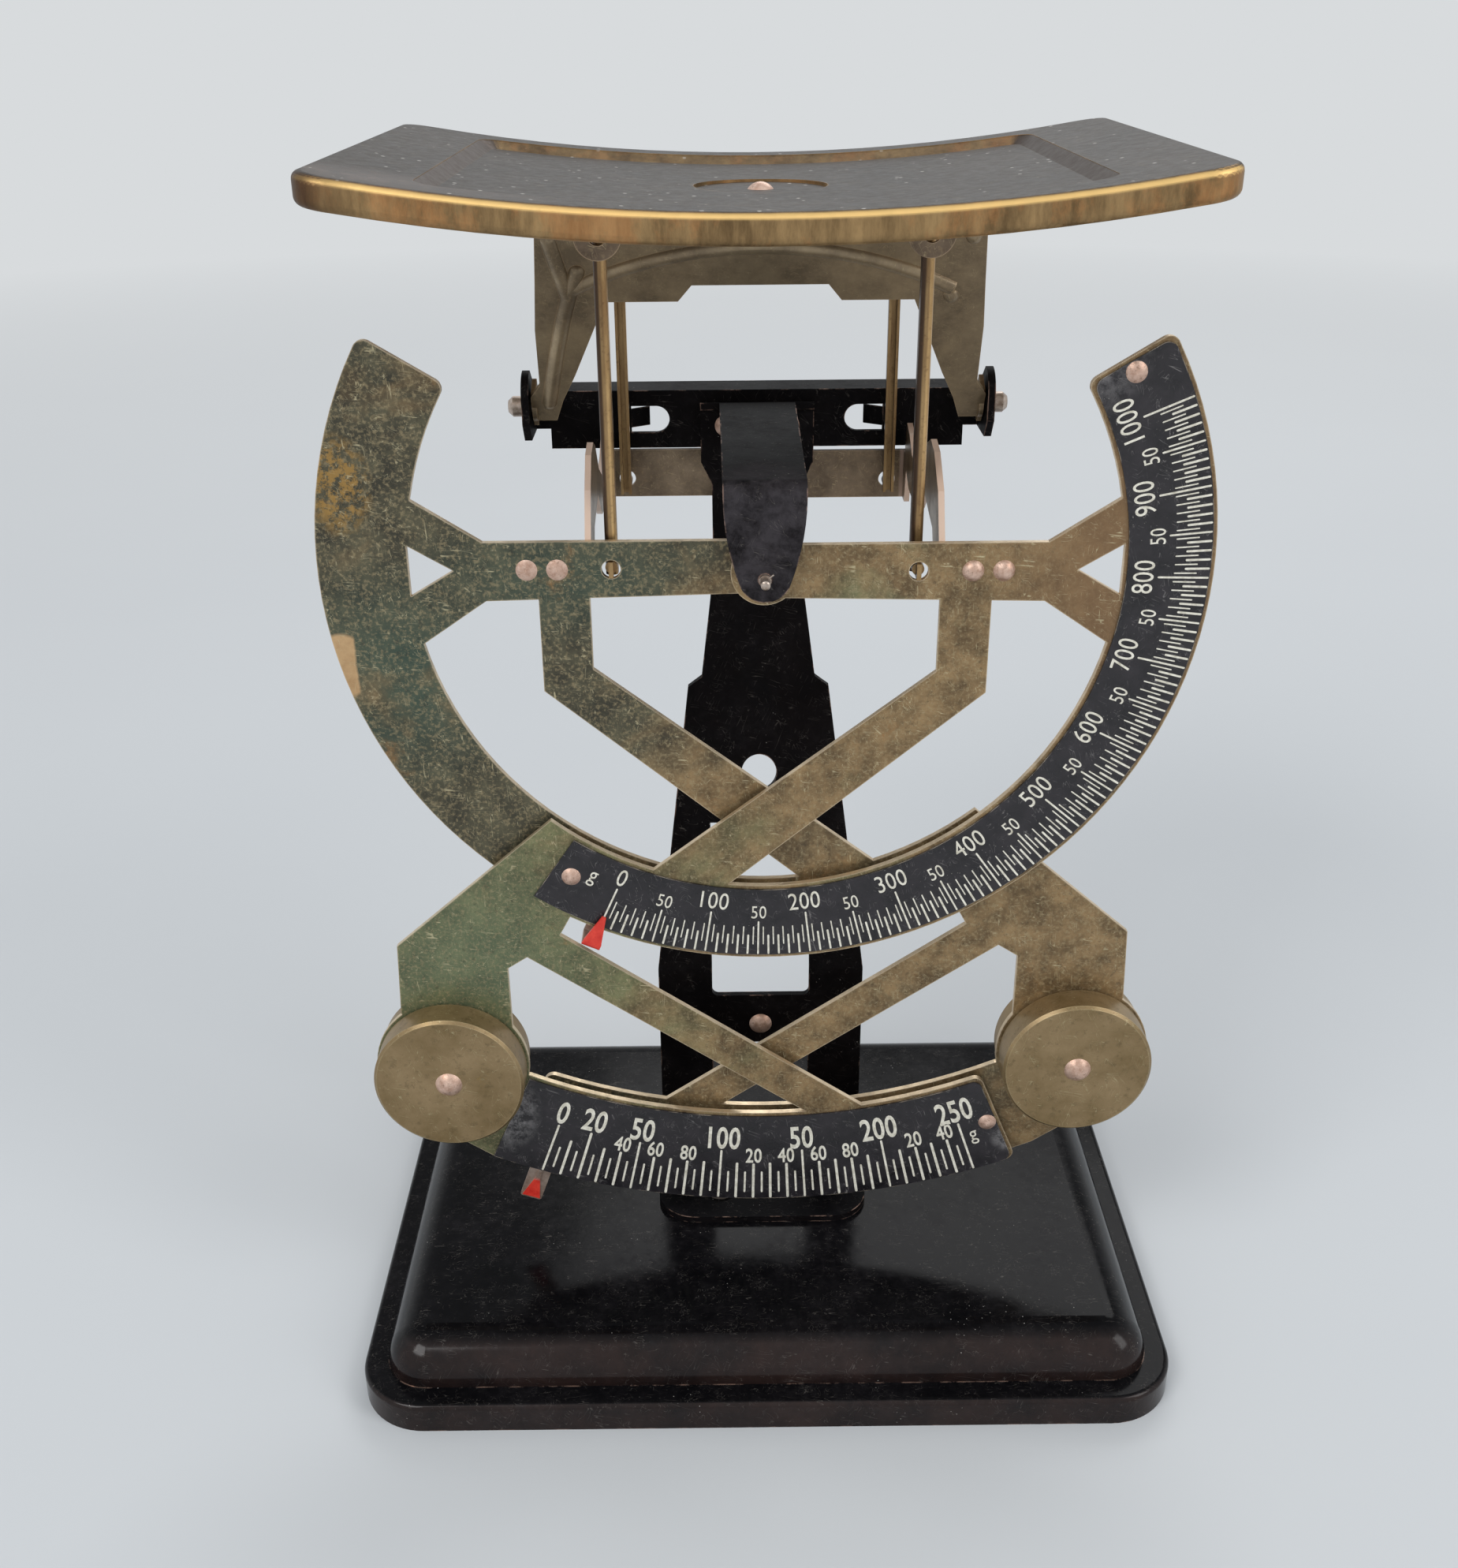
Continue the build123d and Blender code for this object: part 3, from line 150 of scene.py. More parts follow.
class Paint:
    """Small builder for one material's nodes. Shades are 0-255 screen values."""

    def __init__(self, name):
        self.material = bpy.data.materials.new(name)
        self.material.use_nodes = True
        self.tree = self.material.node_tree
        self.shader = self.tree.nodes["Principled BSDF"]
        self.place = self.new("ShaderNodeTexCoord").outputs["Object"]
        self.geometry = self.new("ShaderNodeNewGeometry")

    def new(self, kind, inputs=None, **settings):
        """Node of a kind, with its settings made and its inputs set or joined."""
        node = self.tree.nodes.new(kind)
        for key, value in settings.items():
            setattr(node, key, value)
        for key, source in (inputs or {}).items():
            self.join(source, node.inputs[key])
        return node

    def join(self, source, socket):
        if isinstance(source, bpy.types.NodeSocket):
            self.tree.links.new(source, socket)
        else:
            socket.default_value = source

    def noise(
        self, scale, detail, rough=ROUGHNESS_OF_NOISE, stretch=(1, 1, 1), shift=(0, 0, 0), warp=0.0
    ):
        mapping = self.new(
            "ShaderNodeMapping", {"Scale": stretch, "Location": shift, "Vector": self.place}
        )
        return self.new("ShaderNodeTexNoise", {
            "Scale": scale, "Detail": detail, "Roughness": rough, "Distortion": warp,
            "Vector": mapping.outputs[0],
        }).outputs["Fac"]

    def patches(self, scale, detail, low, high, rough=ROUGHNESS_OF_NOISE, **place):
        """Noise taken from low..high to 0..1, clamped."""
        return self.span(self.noise(scale, detail, rough, **place), low, high)

    def specks(self, scale, low, high, where):
        """Round specks of a cell pattern, only where the mask lets them."""
        cells = self.new("ShaderNodeTexVoronoi", {"Scale": scale, "Vector": self.place})
        return self.times(self.span(cells.outputs["Distance"], low, high), where)

    def span(self, value, low, high, start=0.0, end=1.0):
        """Value taken from low..high to start..end, clamped."""
        return self.new("ShaderNodeMapRange", {
            "Value": value, "From Min": low, "From Max": high, "To Min": start, "To Max": end,
        }).outputs["Result"]

    def between(self, mask, start, end):
        """Start where the mask is zero, end where it is one."""
        return self.span(mask, 0.0, 1.0, start, end)

    def math(self, operation, first, second=0.0):
        return self.new("ShaderNodeMath", {0: first, 1: second}, operation=operation).outputs[0]

    def times(self, first, second):
        return self.math("MULTIPLY", first, second)

    def plus(self, first, second):
        return self.math("ADD", first, second)

    def less(self, first, second):
        return self.math("SUBTRACT", first, second)

    def most(self, first, second):
        return self.math("MAXIMUM", first, second)

    def size(self, value):
        return self.math("ABSOLUTE", value)

    def mix(self, mask, first, second):
        return self.new(
            "ShaderNodeMix", {"Factor": mask, MIX_FIRST: first, MIX_SECOND: second},
            data_type="RGBA",
        ).outputs[2]

    def shades(self, mask, first, second):
        """Mix of two shades."""
        return self.mix(mask, srgb(*first), srgb(*second))

    def cover(self, base, mask, shade, amount=None):
        """Base colour, covered by a shade where the mask is, as far as the amount goes."""
        if amount is not None:
            mask = self.times(mask, amount)
        return self.mix(mask, base, srgb(*shade))

    def parts(self, vector):
        return self.new("ShaderNodeSeparateXYZ", {0: vector}).outputs

    def facing(self):
        """Parts of the true normal."""
        return self.parts(self.geometry.outputs["True Normal"])

    def edges(self, radius):
        """Mask of sharp edges: one at an edge, zero away from it."""
        bevel = self.new("ShaderNodeBevel", {"Radius": radius}, samples=EDGE_SAMPLES)
        product = self.new(
            "ShaderNodeVectorMath",
            {0: bevel.outputs[0], 1: self.geometry.outputs["True Normal"]},
            operation="DOT_PRODUCT",
        )
        return self.span(product.outputs["Value"], *EDGE_BEND)

    def worn_edges(self, radius, *noise):
        """Mask of sharp edges, broken up by patches."""
        return self.times(self.edges(radius), self.patches(*noise))

    def scratches(self, scale, turns, thin, amount, long=12.0):
        """Sparse thin lines in a few directions."""
        total = None
        for index, turn in enumerate(turns):
            mapping = self.new("ShaderNodeMapping", {
                "Rotation": (0.2 * index, turn, 0.3 * index), "Scale": (long, 1.0, 1.0),
                "Vector": self.place,
            }, vector_type="TEXTURE")
            noise = self.new(
                "ShaderNodeTexNoise", {"Scale": scale, "Detail": 1.0, "Vector": mapping.outputs[0]}
            )
            away = self.size(self.less(noise.outputs["Fac"], 0.5))
            gate = self.patches(*SCRATCH_GATE, shift=(index, 3.0 * index, 0))
            line = self.times(self.span(away, thin, 0.0), gate)
            total = line if total is None else self.most(total, line)
        return self.times(total, amount)

    def near(self, centre, inner, outer, squash=(1, 1, 1)):
        """Mask round a point given in millimetres, one within inner, zero past outer."""
        middle = tuple(value * MM for value in centre)
        shift = self.new("ShaderNodeVectorMath", {0: self.place, 1: middle}, operation="SUBTRACT")
        scale = self.new(
            "ShaderNodeVectorMath", {0: shift.outputs[0], 1: squash}, operation="MULTIPLY"
        )
        length = self.new("ShaderNodeVectorMath", {0: scale.outputs[0]}, operation="LENGTH")
        return self.span(length.outputs["Value"], outer * MM, inner * MM)

    def finish(self, colour, roughness, metallic, height=None, strength=0.0):
        """Join the colour and the rest to the shader, with bumps if a height is given."""
        self.join(colour, self.shader.inputs["Base Color"])
        self.join(roughness, self.shader.inputs["Roughness"])
        self.join(metallic, self.shader.inputs["Metallic"])
        if height is not None:
            bump = self.new("ShaderNodeBump", {
                "Strength": strength, "Distance": BUMP_DISTANCE, "Height": height,
            })
            self.join(bump.outputs[0], self.shader.inputs["Normal"])
        return self.material


def lacquer(name, gloss, blur, bevel_gloss_and_sheen):
    """Black lacquer, bare along worn edges, with dust and scuffs, and a painted brown sheen on the
    front bevel.
    """
    paint = Paint(name)
    worn = paint.worn_edges(0.0005, 150, 6, 0.5, 0.6, 0.7)
    dust = paint.specks(760, 0.1, 0.05, paint.patches(90, 3, 0.58, 0.66, shift=(4, 0, 0)))
    scuff = paint.scratches(900, (0.2, 0.9, 2.1), 0.01, 0.3)
    haze = paint.patches(46, 6, 0.35, 0.75, 0.65)
    satin = paint.times(paint.patches(420, 6, 0.45, 0.7, 0.72), haze)
    tongue = paint.times(paint.near(*TONGUE_RUB), paint.patches(260, 6, 0.3, 0.6, 0.7))
    black = paint.shades(haze, (8, 8, 10), (21, 20, 22))
    black = paint.cover(black, satin, (56, 53, 55), 0.3)
    black = paint.cover(black, tongue, (84, 80, 84), 0.5)
    normal = paint.parts(paint.geometry.outputs["Normal"])
    bevel = paint.span(normal[2], 0.97, 0.8)
    # Painted reflection: a brown sheen on the bevel faces that face the front, streaked by noise;
    # the same amount also raises the bevel's real gloss.
    sheen = paint.times(bevel, paint.span(normal[1], -0.2, -0.6))
    sheen = paint.times(sheen, paint.span(paint.noise(60, 6, 0.7), 0.3, 0.7, 0.1, 1.0))
    black = paint.cover(black, sheen, (74, 54, 48), bevel_gloss_and_sheen)
    dull = paint.cover(black, scuff, (130, 124, 118))
    dusty = paint.cover(dull, dust, (196, 192, 186), 0.8)
    colour = paint.cover(dusty, worn, (186, 154, 138))
    rough = paint.plus(paint.between(haze, 0.1, 0.2), paint.times(satin, 0.2))
    rough = paint.plus(rough, paint.times(tongue, 0.2))
    rough = paint.plus(paint.plus(rough, blur), paint.times(dust, 0.4))
    specular = paint.between(bevel, gloss, gloss + bevel_gloss_and_sheen)
    paint.join(specular, paint.shader.inputs["Specular IOR Level"])
    paint.join(LACQUER_IOR, paint.shader.inputs["IOR"])
    return paint.finish(colour, rough, paint.times(worn, 0.6), paint.noise(700, 3), 0.04)


def rear_green(paint, mottle):
    """Dark grey-green of the rear plate, teal on its left band and beam."""
    teal = paint.most(
        paint.times(paint.near(*REAR_BAND_TEAL), 0.55),
        paint.times(paint.near(*REAR_BEAM_TEAL), 0.4),
    )
    return paint.cover(paint.shades(mottle, (56, 54, 44), (90, 86, 67)), teal, (62, 86, 74))


def front_green(paint, mottle):
    """Grey-green of the front plate, teal on its beam and lower left arm."""
    teal = paint.most(paint.near(*FRONT_BEAM_TEAL), paint.near(*FRONT_ARM_TEAL))
    green = paint.shades(mottle, (86, 86, 60), (122, 122, 86))
    return paint.cover(green, teal, (86, 108, 86), 0.45)


def rear_marks(paint, colour, mottle, across):
    """Amber stain and bare patch on the rear plate's left band."""
    amber = paint.times(paint.near(*REAR_AMBER), paint.patches(560, 6, 0.46, 0.54, 0.78))
    colour = paint.cover(colour, amber, (160, 124, 64), 0.8)
    wobble = paint.times(paint.less(paint.noise(300, 3), 0.5), 0.0012)
    side = paint.span(paint.plus(across, wobble), *REAR_BARE_SIDE)
    bare = paint.times(paint.near(*REAR_BARE), side)
    return paint.mix(bare, colour, paint.shades(mottle, (172, 138, 98), (196, 162, 120)))


def patina(name, green, light, shift, rear):
    """Bronzed brass sheet: green and brown patina with fine tan specks, and cut edges painted
    bright cream, partly bare metal and partly a painted highlight.
    """
    paint = Paint(name)
    across = paint.parts(paint.place)[0]
    drift = paint.span(across, -0.07, 0.07, 0.16, -0.16)
    cloud = paint.plus(paint.noise(30, 8, 0.62, shift=shift, warp=0.5), drift)
    cloud = paint.span(cloud, 0.60 - 0.22 * green, 0.78 - 0.26 * green)
    mottle = paint.patches(150, 8, 0.38, 0.64, 0.7, shift=shift)
    speck = paint.patches(1250, 4, 0.5, 0.62, 0.75, shift=shift)
    dots = paint.patches(700, 5, 0.57, 0.64, 0.8, shift=(4, 1, 3))
    brown = paint.shades(mottle, (94, 76, 52), (148, 122, 86))
    grey_green = rear_green(paint, mottle) if rear else front_green(paint, mottle)
    colour = paint.mix(cloud, brown, grey_green)
    colour = paint.cover(colour, speck, (158, 142, 108), 0.5)
    colour = paint.cover(colour, dots, (52, 44, 34), 0.4)
    if not rear:
        colour = paint.cover(colour, paint.near(*FRONT_FORK_BROWN), (122, 94, 66), 0.7)
    gold = paint.patches(44, 7, 0.60, 0.68, 0.72, shift=(5, 2, 7))
    gold = paint.times(gold, paint.span(mottle, 0.2, 0.8, 0.15, 0.6))
    colour = paint.cover(colour, gold, (150, 104, 56))
    if rear:
        colour = rear_marks(paint, colour, mottle, across)
    marks = paint.scratches(1000, (0.1, 0.7, 1.5, 2.4), 0.010, 0.7, 16.0)
    colour = paint.cover(colour, marks, (196, 184, 148))
    edge = paint.worn_edges(0.0005, 160, 4, 0.25, 0.45)
    # Cut edges of the sheet, the faces that do not face front or back, and worn edges are painted
    # bright cream: partly bare metal, partly a painted highlight.
    side = paint.span(paint.size(paint.facing()[1]), 0.75, 0.55)
    side = paint.times(side, paint.between(mottle, 0.5, 0.9))
    bare_edge_and_highlight = paint.most(paint.times(edge, 0.8), side)
    colour = paint.cover(colour, bare_edge_and_highlight, (222, 202, 172))
    level = paint.new("ShaderNodeHueSaturation", {"Value": light, "Color": colour})
    rough = paint.between(mottle, 0.46, 0.34)
    metal = paint.plus(0.45, paint.times(bare_edge_and_highlight, 0.4))
    height = paint.plus(mottle, paint.times(speck, 0.5))
    return paint.finish(level.outputs["Color"], rough, metal, height, 0.12)


def bronze(name, dark, pale, shift, metallic=0.75, cut=False):
    """Smoother bronzed brass of brackets, carrier and yoke; if wanted, the cut edges of the web
    painted pink-cream, partly bare metal and partly a painted highlight.
    """
    paint = Paint(name)
    cloud = paint.patches(90, 7, 0.36, 0.64, 0.65, shift=shift)
    speck = paint.patches(1100, 4, 0.52, 0.66, 0.75, shift=shift)
    colour = paint.shades(cloud, dark, pale)
    colour = paint.cover(colour, speck, (186, 162, 124), 0.25)
    marks = paint.scratches(1000, (0.3, 1.2, 2.2), 0.012, 0.5)
    colour = paint.cover(colour, marks, (210, 190, 150))
    edge = paint.worn_edges(0.0004, 160, 4, 0.3, 0.5)
    colour = paint.cover(colour, edge, (214, 184, 150), 0.75)
    if cut:
        # Cut edges of the web, the faces that do not face sideways, painted pink-cream and less
        # metallic: partly bare metal, partly a painted highlight.
        across = paint.size(paint.parts(paint.place)[0])
        web = paint.times(paint.span(across, *WEB_INNER), paint.span(across, *WEB_OUTER))
        cut_edge_and_highlight = paint.times(web, paint.span(paint.size(paint.facing()[0]), 0.6, 0.4))
        colour = paint.cover(colour, cut_edge_and_highlight, (216, 188, 168))
        metallic = paint.less(metallic, paint.times(cut_edge_and_highlight, metallic))
    return paint.finish(colour, paint.between(cloud, 0.42, 0.3), metallic, speck, 0.08)


def strut_brass():
    """Folded struts: brass, with painted shade on the left of the round front and a painted
    highlight on the right.
    """
    paint = Paint("strut_brass")
    cloud = paint.patches(300, 6, 0.36, 0.64, 0.7, stretch=(1, 1, 0.12))
    brass = paint.shades(cloud, (160, 124, 82), (214, 178, 124))
    # Painted shade and highlight: faces turned towards -X get a dark brown, faces turned towards
    # +X the bright brass.
    painted_light_side = paint.span(paint.facing()[0], -0.35, 0.25)
    colour = paint.mix(painted_light_side, srgb(74, 56, 42), brass)
    speck = paint.patches(900, 5, 0.54, 0.66, 0.7)
    colour = paint.cover(colour, speck, (96, 70, 48), 0.4)
    return paint.finish(colour, 0.34, 0.7, speck, 0.08)


def dial_black():
    """Black dial paint, a little worn and hazed, with silvery rubbed patches."""
    paint = Paint("dial_black")
    haze = paint.patches(120, 6, 0.38, 0.68, 0.7)
    colour = paint.shades(haze, (24, 22, 25), (46, 42, 46))
    marks = paint.scratches(1000, (0.4, 1.3, 2.2), 0.01, 0.55)
    colour = paint.cover(colour, marks, (150, 146, 144))
    speck = paint.specks(1300, 0.14, 0.08, paint.patches(110, 3, 0.56, 0.63, shift=(2, 0, 1)))
    colour = paint.cover(colour, speck, (170, 166, 158), 0.6)
    edge = paint.worn_edges(0.0003, 200, 3, 0.48, 0.6)
    colour = paint.cover(colour, edge, (206, 190, 168), 0.8)
    patch = paint.most(paint.near(*DIAL_LEFT_RUB), paint.near(*DIAL_RIGHT_RUB))
    patch = paint.most(patch, paint.times(paint.near(*DIAL_TOP_RUB), 0.5))
    patch = paint.times(patch, paint.patches(420, 6, 0.42, 0.62, 0.75))
    colour = paint.cover(colour, patch, (176, 172, 172), 0.75)
    rough = paint.between(haze, 0.26, 0.42)
    return paint.finish(colour, rough, 0.0, paint.noise(900, 3), 0.06)


def figure_cream():
    """Cream filling of the engraved figures and lines."""
    paint = Paint("figure_cream")
    dirt = paint.patches(700, 5, 0.4, 0.7, 0.7)
    colour = paint.shades(dirt, (240, 236, 222), (192, 186, 168))
    return paint.finish(colour, 0.6, 0.0, dirt, 0.1)


def turned_brass():
    """Weight discs: dull olive brass with fine marks and a brighter rim."""
    paint = Paint("turned_brass")
    cloud = paint.patches(70, 7, 0.35, 0.65, 0.65)
    colour = paint.shades(cloud, (126, 105, 70), (160, 137, 102))
    spot = paint.patches(520, 6, 0.54, 0.66, 0.75)
    colour = paint.cover(colour, spot, (90, 76, 50), 0.45)
    amber = paint.patches(60, 5, 0.62, 0.7, 0.7, shift=(9, 1, 3))
    colour = paint.cover(colour, amber, (172, 140, 70), 0.5)
    marks = paint.scratches(900, (0.2, 1.1, 2.0), 0.01, 0.5)
    colour = paint.cover(colour, marks, (200, 190, 150))
    edge = paint.worn_edges(0.0005, 120, 4, 0.3, 0.5)
    colour = paint.cover(colour, edge, (220, 204, 160), 0.7)
    return paint.finish(colour, paint.between(cloud, 0.36, 0.46), 0.6, paint.noise(500, 5), 0.08)


def rivet_copper():
    """Pinkish copper rivet heads, dull, with dark spots."""
    paint = Paint("rivet_copper")
    cloud = paint.patches(600, 5, 0.35, 0.65, 0.7)
    colour = paint.shades(cloud, (190, 152, 132), (226, 196, 178))
    spot = paint.patches(1500, 4, 0.56, 0.68, 0.7)
    colour = paint.cover(colour, spot, (112, 84, 66), 0.6)
    return paint.finish(colour, paint.between(cloud, 0.36, 0.5), 0.6, cloud, 0.12)


def turned_steel():
    """Axle, pins, spacers and screws: pinkish steel with a brown tarnish."""
    paint = Paint("turned_steel")
    cloud = paint.patches(500, 5, 0.35, 0.65, 0.7)
    colour = paint.shades(cloud, (150, 132, 118), (206, 192, 180))
    spot = paint.patches(1300, 4, 0.56, 0.68, 0.7)
    colour = paint.cover(colour, spot, (100, 78, 60), 0.6)
    return paint.finish(colour, paint.between(cloud, 0.3, 0.42), 0.8, cloud, 0.08)


def pan_top(paint, fine):
    """Dark worn top of the pan, with long and short scratches and a rubbed left end."""
    cloud = paint.patches(26, 8, 0.36, 0.64, 0.66, warp=0.4)
    dark = paint.shades(cloud, (34, 29, 25), (52, 45, 39))
    dark = paint.cover(dark, fine, (72, 64, 54), 0.3)
    lengthwise = paint.scratches(500, (0.0, 0.06, -0.05), 0.014, 0.3, 40.0)
    crosswise = paint.scratches(900, (0.8, 1.6, 2.6), 0.01, 0.3)
    dark = paint.cover(dark, paint.most(lengthwise, crosswise), (140, 130, 112))
    rubbed = paint.times(paint.near(*PAN_RUB), paint.span(fine, 0.2, 0.9, 0.3, 1.0))
    return paint.cover(dark, rubbed, (148, 136, 130), 0.45)


def pan_sides(paint, normal):
    """Golden flange of the pan: streaks, painted shade on the side slopes, a painted highlight
    along the front rim, a dark corner.
    """
    streak = paint.patches(230, 6, 0.35, 0.65, 0.7, stretch=(1, 1, 0.25))
    gold = paint.shades(streak, (112, 90, 62), (170, 140, 98))
    orange = paint.patches(60, 7, 0.52, 0.62, 0.75, stretch=(1, 1, 0.5), shift=(3, 0, 0))
    gold = paint.cover(gold, orange, (206, 142, 88), 0.35)
    # Painted shade: the slopes of the recess that face left or right are darkened.
    painted_shade_slope = paint.times(
        paint.span(normal[2], 0.45, 0.6), paint.span(paint.size(normal[0]), 0.2, 0.4)
    )
    gold = paint.cover(gold, painted_shade_slope, (60, 46, 36))
    # Painted highlight: a bright gold line along the front of the rim fillet.
    rim = paint.times(paint.span(normal[2], 0.12, 0.4), paint.span(normal[2], 0.92, 0.7))
    front = paint.times(paint.span(normal[1], -0.3, -0.6), rim)
    front = paint.times(front, paint.span(paint.parts(paint.place)[1], *PAN_FRONT))
    gold = paint.cover(gold, front, (244, 204, 134), 0.9)
    return paint.cover(gold, paint.near(*PAN_CORNER), (74, 54, 42), 0.8)


def pan_brass():
    """Pan: worn dark top with dust, golden flange, worn edges."""
    paint = Paint("pan_brass")
    normal = paint.facing()
    top = paint.span(normal[2], 0.80, 0.95)
    fine = paint.patches(420, 6, 0.35, 0.65, 0.72)
    colour = paint.mix(top, pan_sides(paint, normal), pan_top(paint, fine))
    edge = paint.worn_edges(0.0007, 60, 5, 0.35, 0.55)
    colour = paint.cover(colour, edge, (206, 170, 122), 0.4)
    dust = paint.specks(300, 0.15, 0.08, paint.patches(90, 4, 0.50, 0.54, 0.7, shift=(1, 5, 2)))
    dust = paint.times(dust, top)
    colour = paint.cover(colour, dust, (216, 212, 204), 0.85)
    rough = paint.plus(paint.between(fine, 0.38, 0.5), paint.times(dust, 0.3))
    metal = paint.less(paint.less(0.75, paint.times(top, 0.5)), paint.times(dust, 0.25))
    paint.join(PAN_SPECULAR, paint.shader.inputs["Specular IOR Level"])
    return paint.finish(colour, rough, metal, fine, 0.08)


def pointer_brass():
    """Pointer strips: pinkish brass with a red tip."""
    paint = Paint("pointer_brass")
    cloud = paint.patches(400, 5, 0.35, 0.65, 0.7)
    brass = paint.shades(cloud, (164, 138, 122), (204, 184, 170))
    across, depth, height = paint.parts(paint.place)
    down = paint.less(height, PIVOT * MM)
    reach = paint.math("SQRT", paint.plus(paint.times(across, across), paint.times(down, down)))
    upper_tip = paint.span(depth, *UPPER_TIP_FACE)
    lower_tip = paint.times(
        paint.span(depth, *LOWER_TIP_FACE), paint.span(reach, *LOWER_TIP_REACH)
    )
    tip = paint.most(upper_tip, lower_tip)
    colour = paint.mix(tip, brass, paint.shades(cloud, (206, 40, 30), (232, 70, 52)))
    return paint.finish(colour, 0.42, paint.times(paint.less(1.0, tip), 0.7), cloud, 0.08)


def dress_nodes():
    """Give every CAD node its finish: one of its own, or else that of its slot."""
    by_slot = {
        "black_lacquer": lacquer("black_lacquer", 0.12, 0.0, 0.4),
        "scale_black": dial_black(),
        "copper_rivet": rivet_copper(),
        "steel": turned_steel(),
        "weight_brass": turned_brass(),
        "pan_brass": pan_brass(),
        "pointer_brass": pointer_brass(),
        "patinated_brass": bronze(
            "bronze_sheet", (106, 91, 76), (148, 129, 107), (1, 4, 0), cut=True
        ),
    }
    satin = lacquer("satin_lacquer", 0.06, 0.32, 0.05)
    by_node = {
        "front_quadrant": patina("patina_front_quadrant", 0.5, 1.18, (0, 0, 0), rear=False),
        "rear_quadrant": patina("patina_rear_quadrant", 0.62, 1.15, (3, 1, 2), rear=True),
        # Painted light: the yoke's bronze is lighter than the other bronze, to make up for the
        # pan's shadow on it.
        "guide_yoke": bronze("bronze_yoke_painted_light", (124, 108, 86), (172, 152, 122), (2, 6, 1), 0.55),
        "pan_carrier": bronze("bronze_carrier", (84, 70, 58), (126, 108, 90), (7, 0, 3)),
        "column": satin,
        "cross_bar": satin,
    }
    strut = strut_brass()
    for name in ("right_front_strut", "right_rear_strut", "left_front_strut", "left_rear_strut"):
        by_node[name] = strut
    slots = {row["node"]: row["material_slot"] for row in frame["record"]["subparts"]}
    for name, node in frame["nodes"].items():
        node.data.materials.clear()
        node.data.materials.append(by_node.get(name) or by_slot[slots[name]])


def sweep(grams):
    """Angle by which the plate and the pointer part under a load."""
    kilos = grams / 1000
    return SWEEP * kilos - SWEEP_LOSS * kilos ** 2


def dial_matrix(radius, angle):
    """Frame on the dial's face: X along the arc, Y to the pivot, Z to the reader."""
    turn = math.radians(angle)
    along = Vector((math.cos(turn), 0, math.sin(turn)))
    inward = Vector((-math.sin(turn), 0, math.cos(turn)))
    reader = Vector((0, -1, 0))
    place = Vector((0, LABEL_FRONT, PIVOT)) - inward * radius
    rows = Matrix((along, inward, reader)).transposed().to_4x4()
    return Matrix.Scale(MM, 4) @ Matrix.Translation(place) @ rows


def add_line(mesh, angle, line):
    """Filled line along a radius, as a thin raised bar with rounded ends."""
    inner, outer, width = line
    half = width / 2
    outline = []
    for start, middle in ((0, outer - inner - half), (math.pi, half)):
        for index in range(LINE_END_STEPS + 1):
            turn = start + math.pi * index / LINE_END_STEPS
            outline.append((half * math.cos(turn), middle + half * math.sin(turn)))
    matrix = dial_matrix(outer, angle)
    top = [mesh.verts.new(matrix @ Vector((x, y, FIGURE_DEPTH))) for x, y in outline]
    low = [mesh.verts.new(matrix @ Vector((x, y, -FIGURE_DEPTH / 2))) for x, y in outline]
    mesh.faces.new(top)
    mesh.faces.new(list(reversed(low)))
    for index in range(len(outline)):
        after = (index + 1) % len(outline)
        mesh.faces.new((low[index], low[after], top[after], top[index]))


def add_figure(mesh, text, angle, style):
    """Numeral or letter on the dial, centred at a radius and angle."""
    radius, height, bold, narrow = style
    curve = bpy.data.curves.new("figure", "FONT")
    curve.body = text
    curve.align_x = "CENTER"
    curve.align_y = "CENTER"
    curve.size = height / CAPITAL_SHARE
    curve.extrude = FIGURE_DEPTH * 0.75
    curve.resolution_u = FIGURE_RESOLUTION
    curve.offset = bold * height
    curve.space_character = FIGURE_SPACING
    holder = bpy.data.objects.new("figure", curve)
    bpy.context.collection.objects.link(holder)
    flat = bpy.data.meshes.new_from_object(holder)
    flat.transform(dial_matrix(radius, angle) @ Matrix.Diagonal((narrow, 1, 1, 1)))
    mesh.from_mesh(flat)
    bpy.data.objects.remove(holder)
    bpy.data.curves.remove(curve)
    bpy.data.meshes.remove(flat)


def make_piece(name, mesh, material, body):
    """Turn a bmesh into a piece that rides on a body."""
    data = bpy.data.meshes.new(name)
    bmesh.ops.recalc_face_normals(mesh, faces=mesh.faces)
    mesh.to_mesh(data)
    mesh.free()
    piece = bpy.data.objects.new(name, data)
    bpy.context.collection.objects.link(piece)
    data.materials.append(material)
    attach(piece, body)


def line_for(grams, lines):
    """The first line whose step the grams fit."""
    return next(line for step, line in lines if grams % step == 0)


def upper_dial(cream):
    """Figures and lines from 0 to 1000 g on the upper band."""
    mesh = bmesh.new()
    for grams in range(0, UPPER_RANGE + 1, LINE_STEP):
        add_line(mesh, UPPER_ZERO + sweep(grams), line_for(grams, UPPER_LINES))
    for grams in range(0, UPPER_RANGE + 1, UPPER_FIGURE_STEP):
        angle = UPPER_ZERO + sweep(grams)
        if grams % 100 == 0:
            add_figure(mesh, str(grams), angle, UPPER_LARGE)
        else:
            add_figure(mesh, "50", angle, UPPER_SMALL)
    add_figure(mesh, "g", UPPER_ZERO - UPPER_UNIT_BEFORE, UPPER_UNIT)
    make_piece("upper_figures", mesh, cream, "front_pendulum")


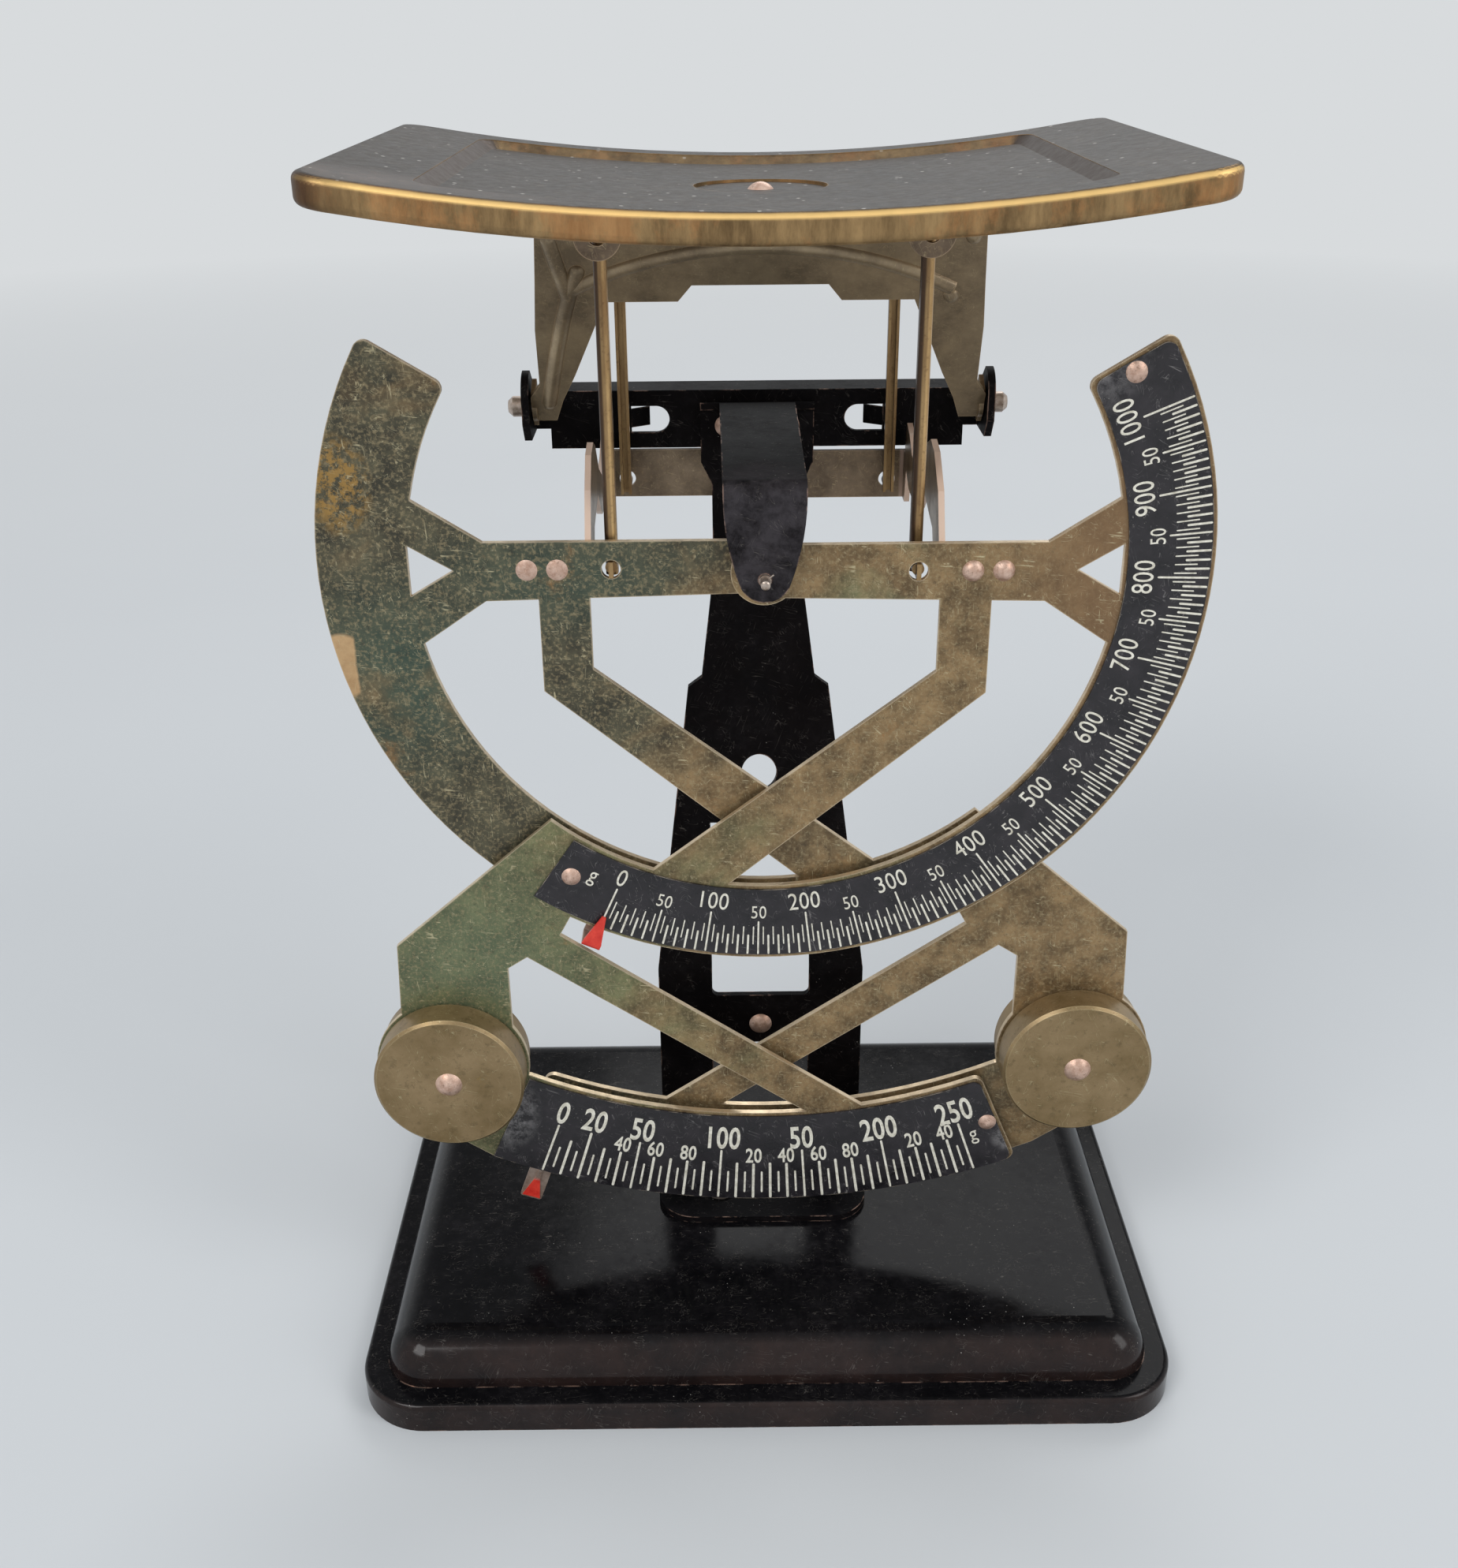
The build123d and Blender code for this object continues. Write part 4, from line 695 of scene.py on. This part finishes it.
def lower_dial(cream):
    """Figures and lines from 0 to 250 g on the lower band."""
    mesh = bmesh.new()
    for grams in range(0, LOWER_RANGE + 1, LINE_STEP):
        first = grams == LOWER_FIRST
        line = LOWER_FIRST_LINE if first else line_for(grams, LOWER_LINES)
        add_line(mesh, LOWER_ZERO + sweep(grams), line)
    for grams in range(0, LOWER_RANGE + 1, LOWER_FIGURE_STEP):
        angle = LOWER_ZERO + sweep(grams)
        within = grams % 100
        if grams % 50 == 0 or grams == LOWER_FIRST:
            text = "50" if within == 50 and grams < LOWER_RANGE else str(grams)
            add_figure(mesh, text, angle, LOWER_LARGE)
        elif grams % 20 == 0:
            add_figure(mesh, str(within), angle, LOWER_SMALL)
    unit_angle = LOWER_ZERO + sweep(LOWER_RANGE) + LOWER_UNIT_AFTER
    add_figure(mesh, "g", unit_angle, LOWER_UNIT)
    make_piece("lower_figures", mesh, cream, "front_pendulum")


def add_floor():
    """Plain pale floor that fades into the pale backdrop."""
    mesh = bmesh.new()
    bmesh.ops.create_grid(mesh, x_segments=1, y_segments=1, size=FLOOR_REACH)
    data = bpy.data.meshes.new("floor")
    mesh.to_mesh(data)
    mesh.free()
    floor = bpy.data.objects.new("floor", data)
    bpy.context.collection.objects.link(floor)
    paint = Paint("floor_pale")
    paint.finish(paint.shades(paint.noise(3.0, 3), *FLOOR_TONES), 0.9, 0.0)
    glow = paint.new("ShaderNodeEmission", {"Color": srgb(*PALE)})
    blend = paint.new("ShaderNodeMixShader", {
        "Fac": paint.near(*FLOOR_FADE), 1: paint.shader.outputs[0], 2: glow.outputs[0],
    })
    paint.join(blend.outputs[0], paint.tree.nodes["Material Output"].inputs["Surface"])
    data.materials.append(paint.material)


def add_light(name, place, size, power):
    """Rectangular lamp that looks at the middle of the scale."""
    data = bpy.data.lights.new(name, "AREA")
    data.shape = "RECTANGLE"
    data.size, data.size_y = size
    data.energy = power
    lamp = bpy.data.objects.new(name, data)
    lamp.location = place
    ahead = Vector(LAMP_TARGET) - Vector(place)
    lamp.rotation_euler = ahead.to_track_quat("-Z", "Y").to_euler()
    bpy.context.collection.objects.link(lamp)


def add_world():
    """Soft even light; the plain pale backdrop for camera, glossy and transmission rays."""
    world = bpy.data.worlds.new("surroundings")
    bpy.context.scene.world = world
    world.use_nodes = True
    nodes, links = world.node_tree.nodes, world.node_tree.links
    background = nodes["Background"]
    background.inputs["Color"].default_value = WORLD_TINT
    background.inputs["Strength"].default_value = WORLD_LIGHT
    pale = nodes.new("ShaderNodeBackground")
    pale.inputs["Color"].default_value = srgb(*PALE)
    pale.inputs["Strength"].default_value = 1.0
    path = nodes.new("ShaderNodeLightPath")
    seen = path.outputs["Is Camera Ray"]
    for ray in ("Is Glossy Ray", "Is Transmission Ray"):
        either = nodes.new("ShaderNodeMath")
        either.operation = "MAXIMUM"
        links.new(seen, either.inputs[0])
        links.new(path.outputs[ray], either.inputs[1])
        seen = either.outputs[0]
    mix = nodes.new("ShaderNodeMixShader")
    links.new(seen, mix.inputs["Fac"])
    links.new(background.outputs[0], mix.inputs[1])
    links.new(pale.outputs[0], mix.inputs[2])
    links.new(mix.outputs[0], nodes["World Output"].inputs["Surface"])


def add_camera():
    """Camera at the photograph's place and angle."""
    pitch = math.radians(CAMERA_PITCH)
    yaw = math.radians(CAMERA_YAW)
    roll = math.radians(CAMERA_ROLL)
    ahead = Vector((
        math.sin(yaw) * math.cos(pitch), math.cos(yaw) * math.cos(pitch), -math.sin(pitch)
    ))
    right = Vector((math.cos(yaw), -math.sin(yaw), 0))
    up = right.cross(ahead)
    right_rolled = math.cos(roll) * right + math.sin(roll) * up
    up_rolled = -math.sin(roll) * right + math.cos(roll) * up
    data = bpy.data.cameras.new("camera")
    data.sensor_fit = "VERTICAL"
    data.sensor_height = SENSOR
    data.lens = FOCAL_PIXELS / FRAME_HEIGHT * SENSOR
    data.clip_start = CLIP_START
    camera = bpy.data.objects.new("camera", data)
    turn = Matrix((right_rolled, up_rolled, -ahead)).transposed().to_4x4()
    camera.matrix_world = Matrix.Translation(Vector(CAMERA_PLACE) * MM) @ turn
    bpy.context.collection.objects.link(camera)
    bpy.context.scene.camera = camera


dress_nodes()
cream = figure_cream()
upper_dial(cream)
lower_dial(cream)
add_floor()
add_world()
for lamp in LAMPS:
    add_light(*lamp)
add_camera()
bpy.context.scene.view_settings.view_transform = "Standard"
